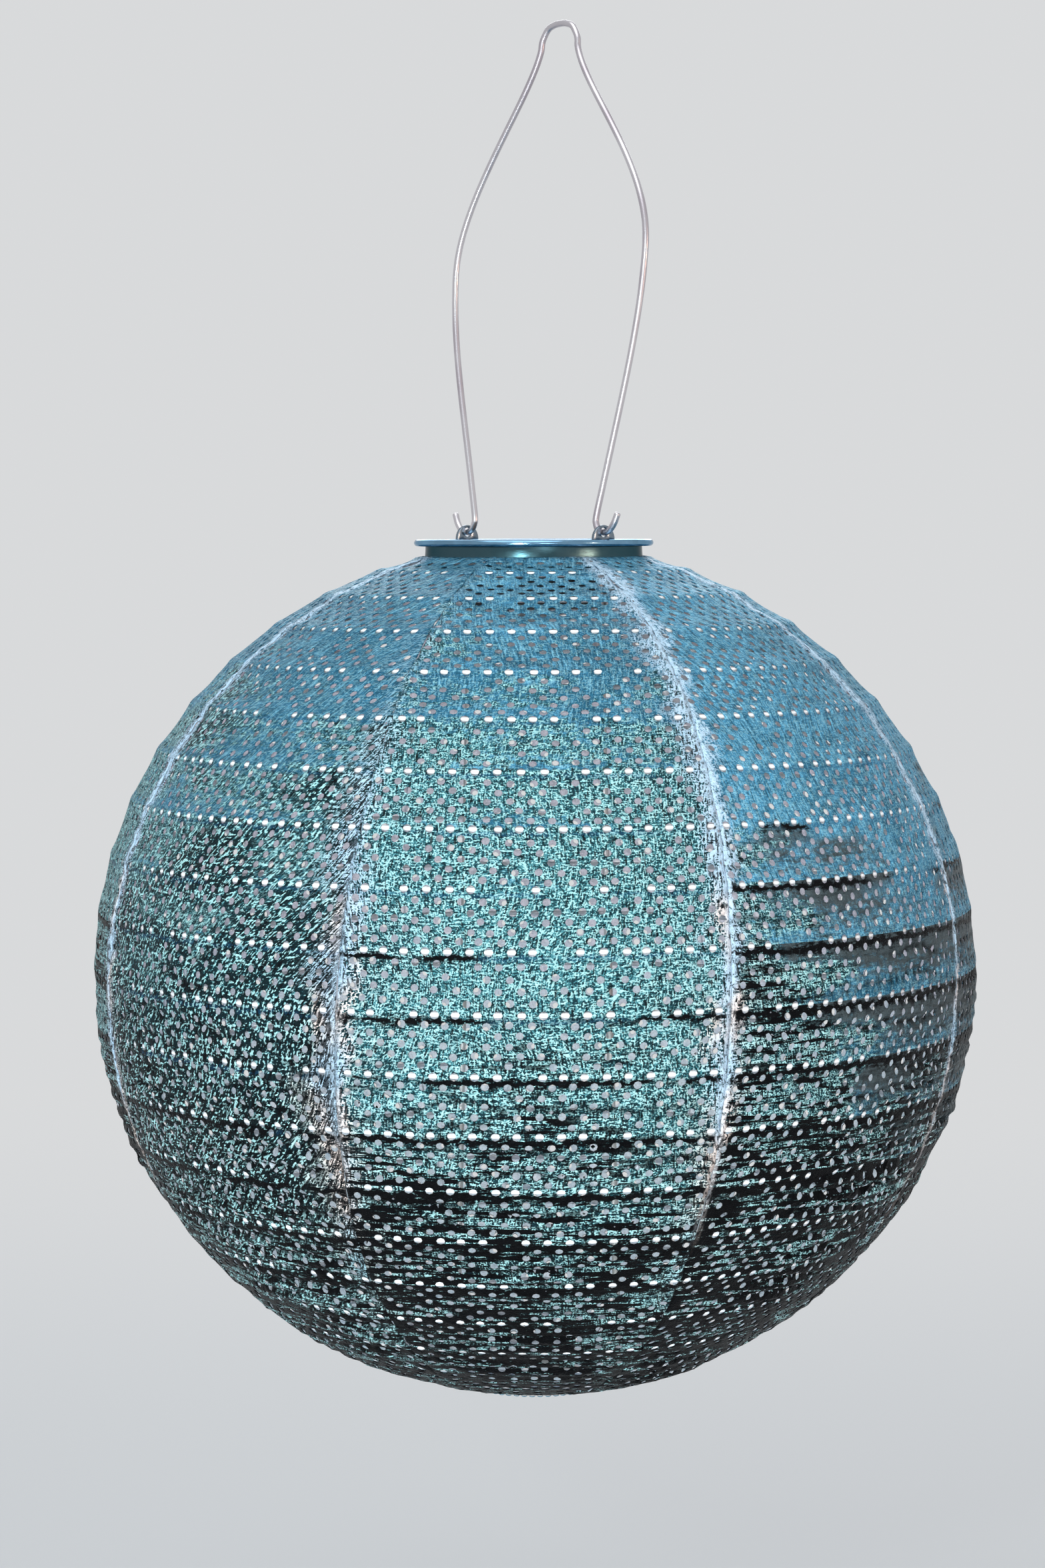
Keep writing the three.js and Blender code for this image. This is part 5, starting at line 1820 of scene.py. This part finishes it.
CAP_RADIUS = 28.6
CAP_TOP = -0.2
CAP_UNDER = -3.2
CAP_FLOOR = CAP_TOP - 1.3  # the seat of the window
POCKET_DEPTH = 2.4
WINDOW_RADIUS = 25.2
NOTCH_RADIUS = 5
HOUSING_RADIUS = 24.6
HOUSING_TOP = -3.5
HOUSING_DEPTH = 19.8
HOUSING_WALL = 1.6
FLOOR_OUT = HOUSING_TOP - HOUSING_DEPTH
FLOOR_IN = FLOOR_OUT + 1.8
SCREW_CIRCLE = HOUSING_RADIUS - 3.6
NEAR_AXIS = 0.5  # where a turned profile leaves and meets its flat middle


def centred_block(x, y_low, y_high, z_low, z_high):
    """A cutting block as wide on both sides of the axis, in millimetres."""
    return block_tool((-x * MM, axis_xy.y + y_low * MM, rim_top + z_low * MM),
                      (x * MM, axis_xy.y + y_high * MM, rim_top + z_high * MM))


def make_cap():
    window_seat = WINDOW_RADIUS + 0.3
    profile = filleted([
        (NEAR_AXIS, CAP_UNDER), (CAP_RADIUS, CAP_UNDER), (CAP_RADIUS, CAP_TOP),
        (window_seat, CAP_TOP), (window_seat, CAP_FLOOR), (NEAR_AXIS, CAP_FLOOR),
    ], [0, 0.3, 0.45, 0.2, 0.15, 0])
    cap = turned("cap_shell", [(0, CAP_UNDER), *profile, (0, CAP_FLOOR)], finishes["black"], 144)
    cell = node_size("solar_cell").x / 2 / MM + 0.3
    pocket = centred_block(cell, -cell, cell, CAP_TOP - POCKET_DEPTH, 0)
    notch = WINDOW_RADIUS + 0.6 + NOTCH_RADIUS
    notches = [pin_tool(NOTCH_RADIUS, CAP_TOP - 1.6, 2, 0, y) for y in (-notch, notch)]
    cut_from(cap, [pocket, *notches])
    eased(cap, 0.12)
    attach(cap, "lamp_unit")
    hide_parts("lid_cap")


def make_window():
    low, high = heights_mm("cell_window")
    profile = filleted([
        (NEAR_AXIS, low), (WINDOW_RADIUS, low), (WINDOW_RADIUS, high), (NEAR_AXIS, high),
    ], [0, 0.1, 0.3, 0])
    window = turned("window_disc", [(0, low), *profile, (0, high)], finishes["window"], 144)
    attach(window, "lamp_unit")
    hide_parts("cell_window")


def housing_openings():
    """Cutting tools for the lens, the three screws, the battery door and the switch."""
    under, over = FLOOR_OUT - 1, FLOOR_IN + 1
    lens = pin_tool(4, under, over, 0, 0)
    screws = [pin_tool(2.0, under, FLOOR_OUT + 1.4, SCREW_CIRCLE * math.cos(a),
                       SCREW_CIRCLE * math.sin(a)) for a in np.radians([90, 210, 330])]
    door_low, door_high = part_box("battery_door")
    margin = 0.35 * MM
    door = block_tool((door_low.x - margin, door_low.y - margin, rim_top + under * MM),
                      (door_high.x + margin, door_high.y + margin, rim_top + over * MM))
    switch = centred_block(3.4, -14.8, -12.2, under, over)
    return [lens, *screws, door, switch]


def make_housing():
    inside = HOUSING_RADIUS - HOUSING_WALL
    profile = filleted([
        (NEAR_AXIS, FLOOR_OUT), (HOUSING_RADIUS, FLOOR_OUT), (HOUSING_RADIUS, HOUSING_TOP),
        (inside, HOUSING_TOP), (inside, FLOOR_IN), (NEAR_AXIS, FLOOR_IN),
    ], [0, 1.4, 0.2, 0.2, 0.8, 0])
    shell = turned("housing_shell", [(0, FLOOR_OUT), *profile, (0, FLOOR_IN)],
                   finishes["black"], 144)
    cut_from(shell, housing_openings())
    eased(shell, 0.15)
    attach(shell, "lamp_unit")
    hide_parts("lamp_housing")


LENS_DOME = 5.0
LENS_FLANGE = 5.9
LENS_SHEET = 1


def make_lens():
    low, high = heights_mm("led_lens")
    skirt = high - 1.6
    steps = np.radians(np.linspace(88, 0, 16))

    def dome(radius, depth, angles):
        return [(radius * math.cos(a), skirt - depth * math.sin(a)) for a in angles]

    inner = LENS_DOME - LENS_SHEET
    profile = [
        (0, low), *dome(LENS_DOME, skirt - low, steps), (LENS_DOME, high - 0.9),
        (LENS_FLANGE, high - 0.8), (LENS_FLANGE, high), (inner, high),
        *dome(inner, skirt - low - LENS_SHEET, steps[::-1]), (0, low + LENS_SHEET),
    ]
    lens = turned("lens_dome", profile, finishes["frosted"], 64)
    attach(lens, "lamp_unit")
    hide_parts("led_lens")


# By node that keeps its shape: its finish, and how much its edges are eased in millimetres
CARRIED_OVER = {
    "solar_cell": ("solar", 0.05),
    "lid_gasket": ("rubber", 0.10),
    "battery_door": ("black", 0.20),
    "switch_knob": ("black", 0.15),
    "switch_body": ("black", 0.20),
    "battery": ("sleeve", 0.15),
    "circuit_board": ("board", 0.08),
    "led": ("resin", 0.08),
    "door_screw": ("screw", 0.06),
    "housing_screw_1": ("screw", 0.08),
    "housing_screw_2": ("screw", 0.08),
    "housing_screw_3": ("screw", 0.08),
    "battery_contact_1": ("spring", 0.08),
    "battery_contact_2": ("spring", 0.08),
}


def dress_carried_over():
    for node, (finish, ease) in CARRIED_OVER.items():
        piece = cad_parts[node]
        piece.data.materials.clear()
        piece.data.materials.append(finishes[finish])
        eased(piece, ease)


def make_lamp_unit():
    make_cap()
    make_window()
    make_housing()
    make_lens()
    dress_carried_over()


make_studio()
make_shade()
make_collar()
make_bail()
make_lamp_unit()
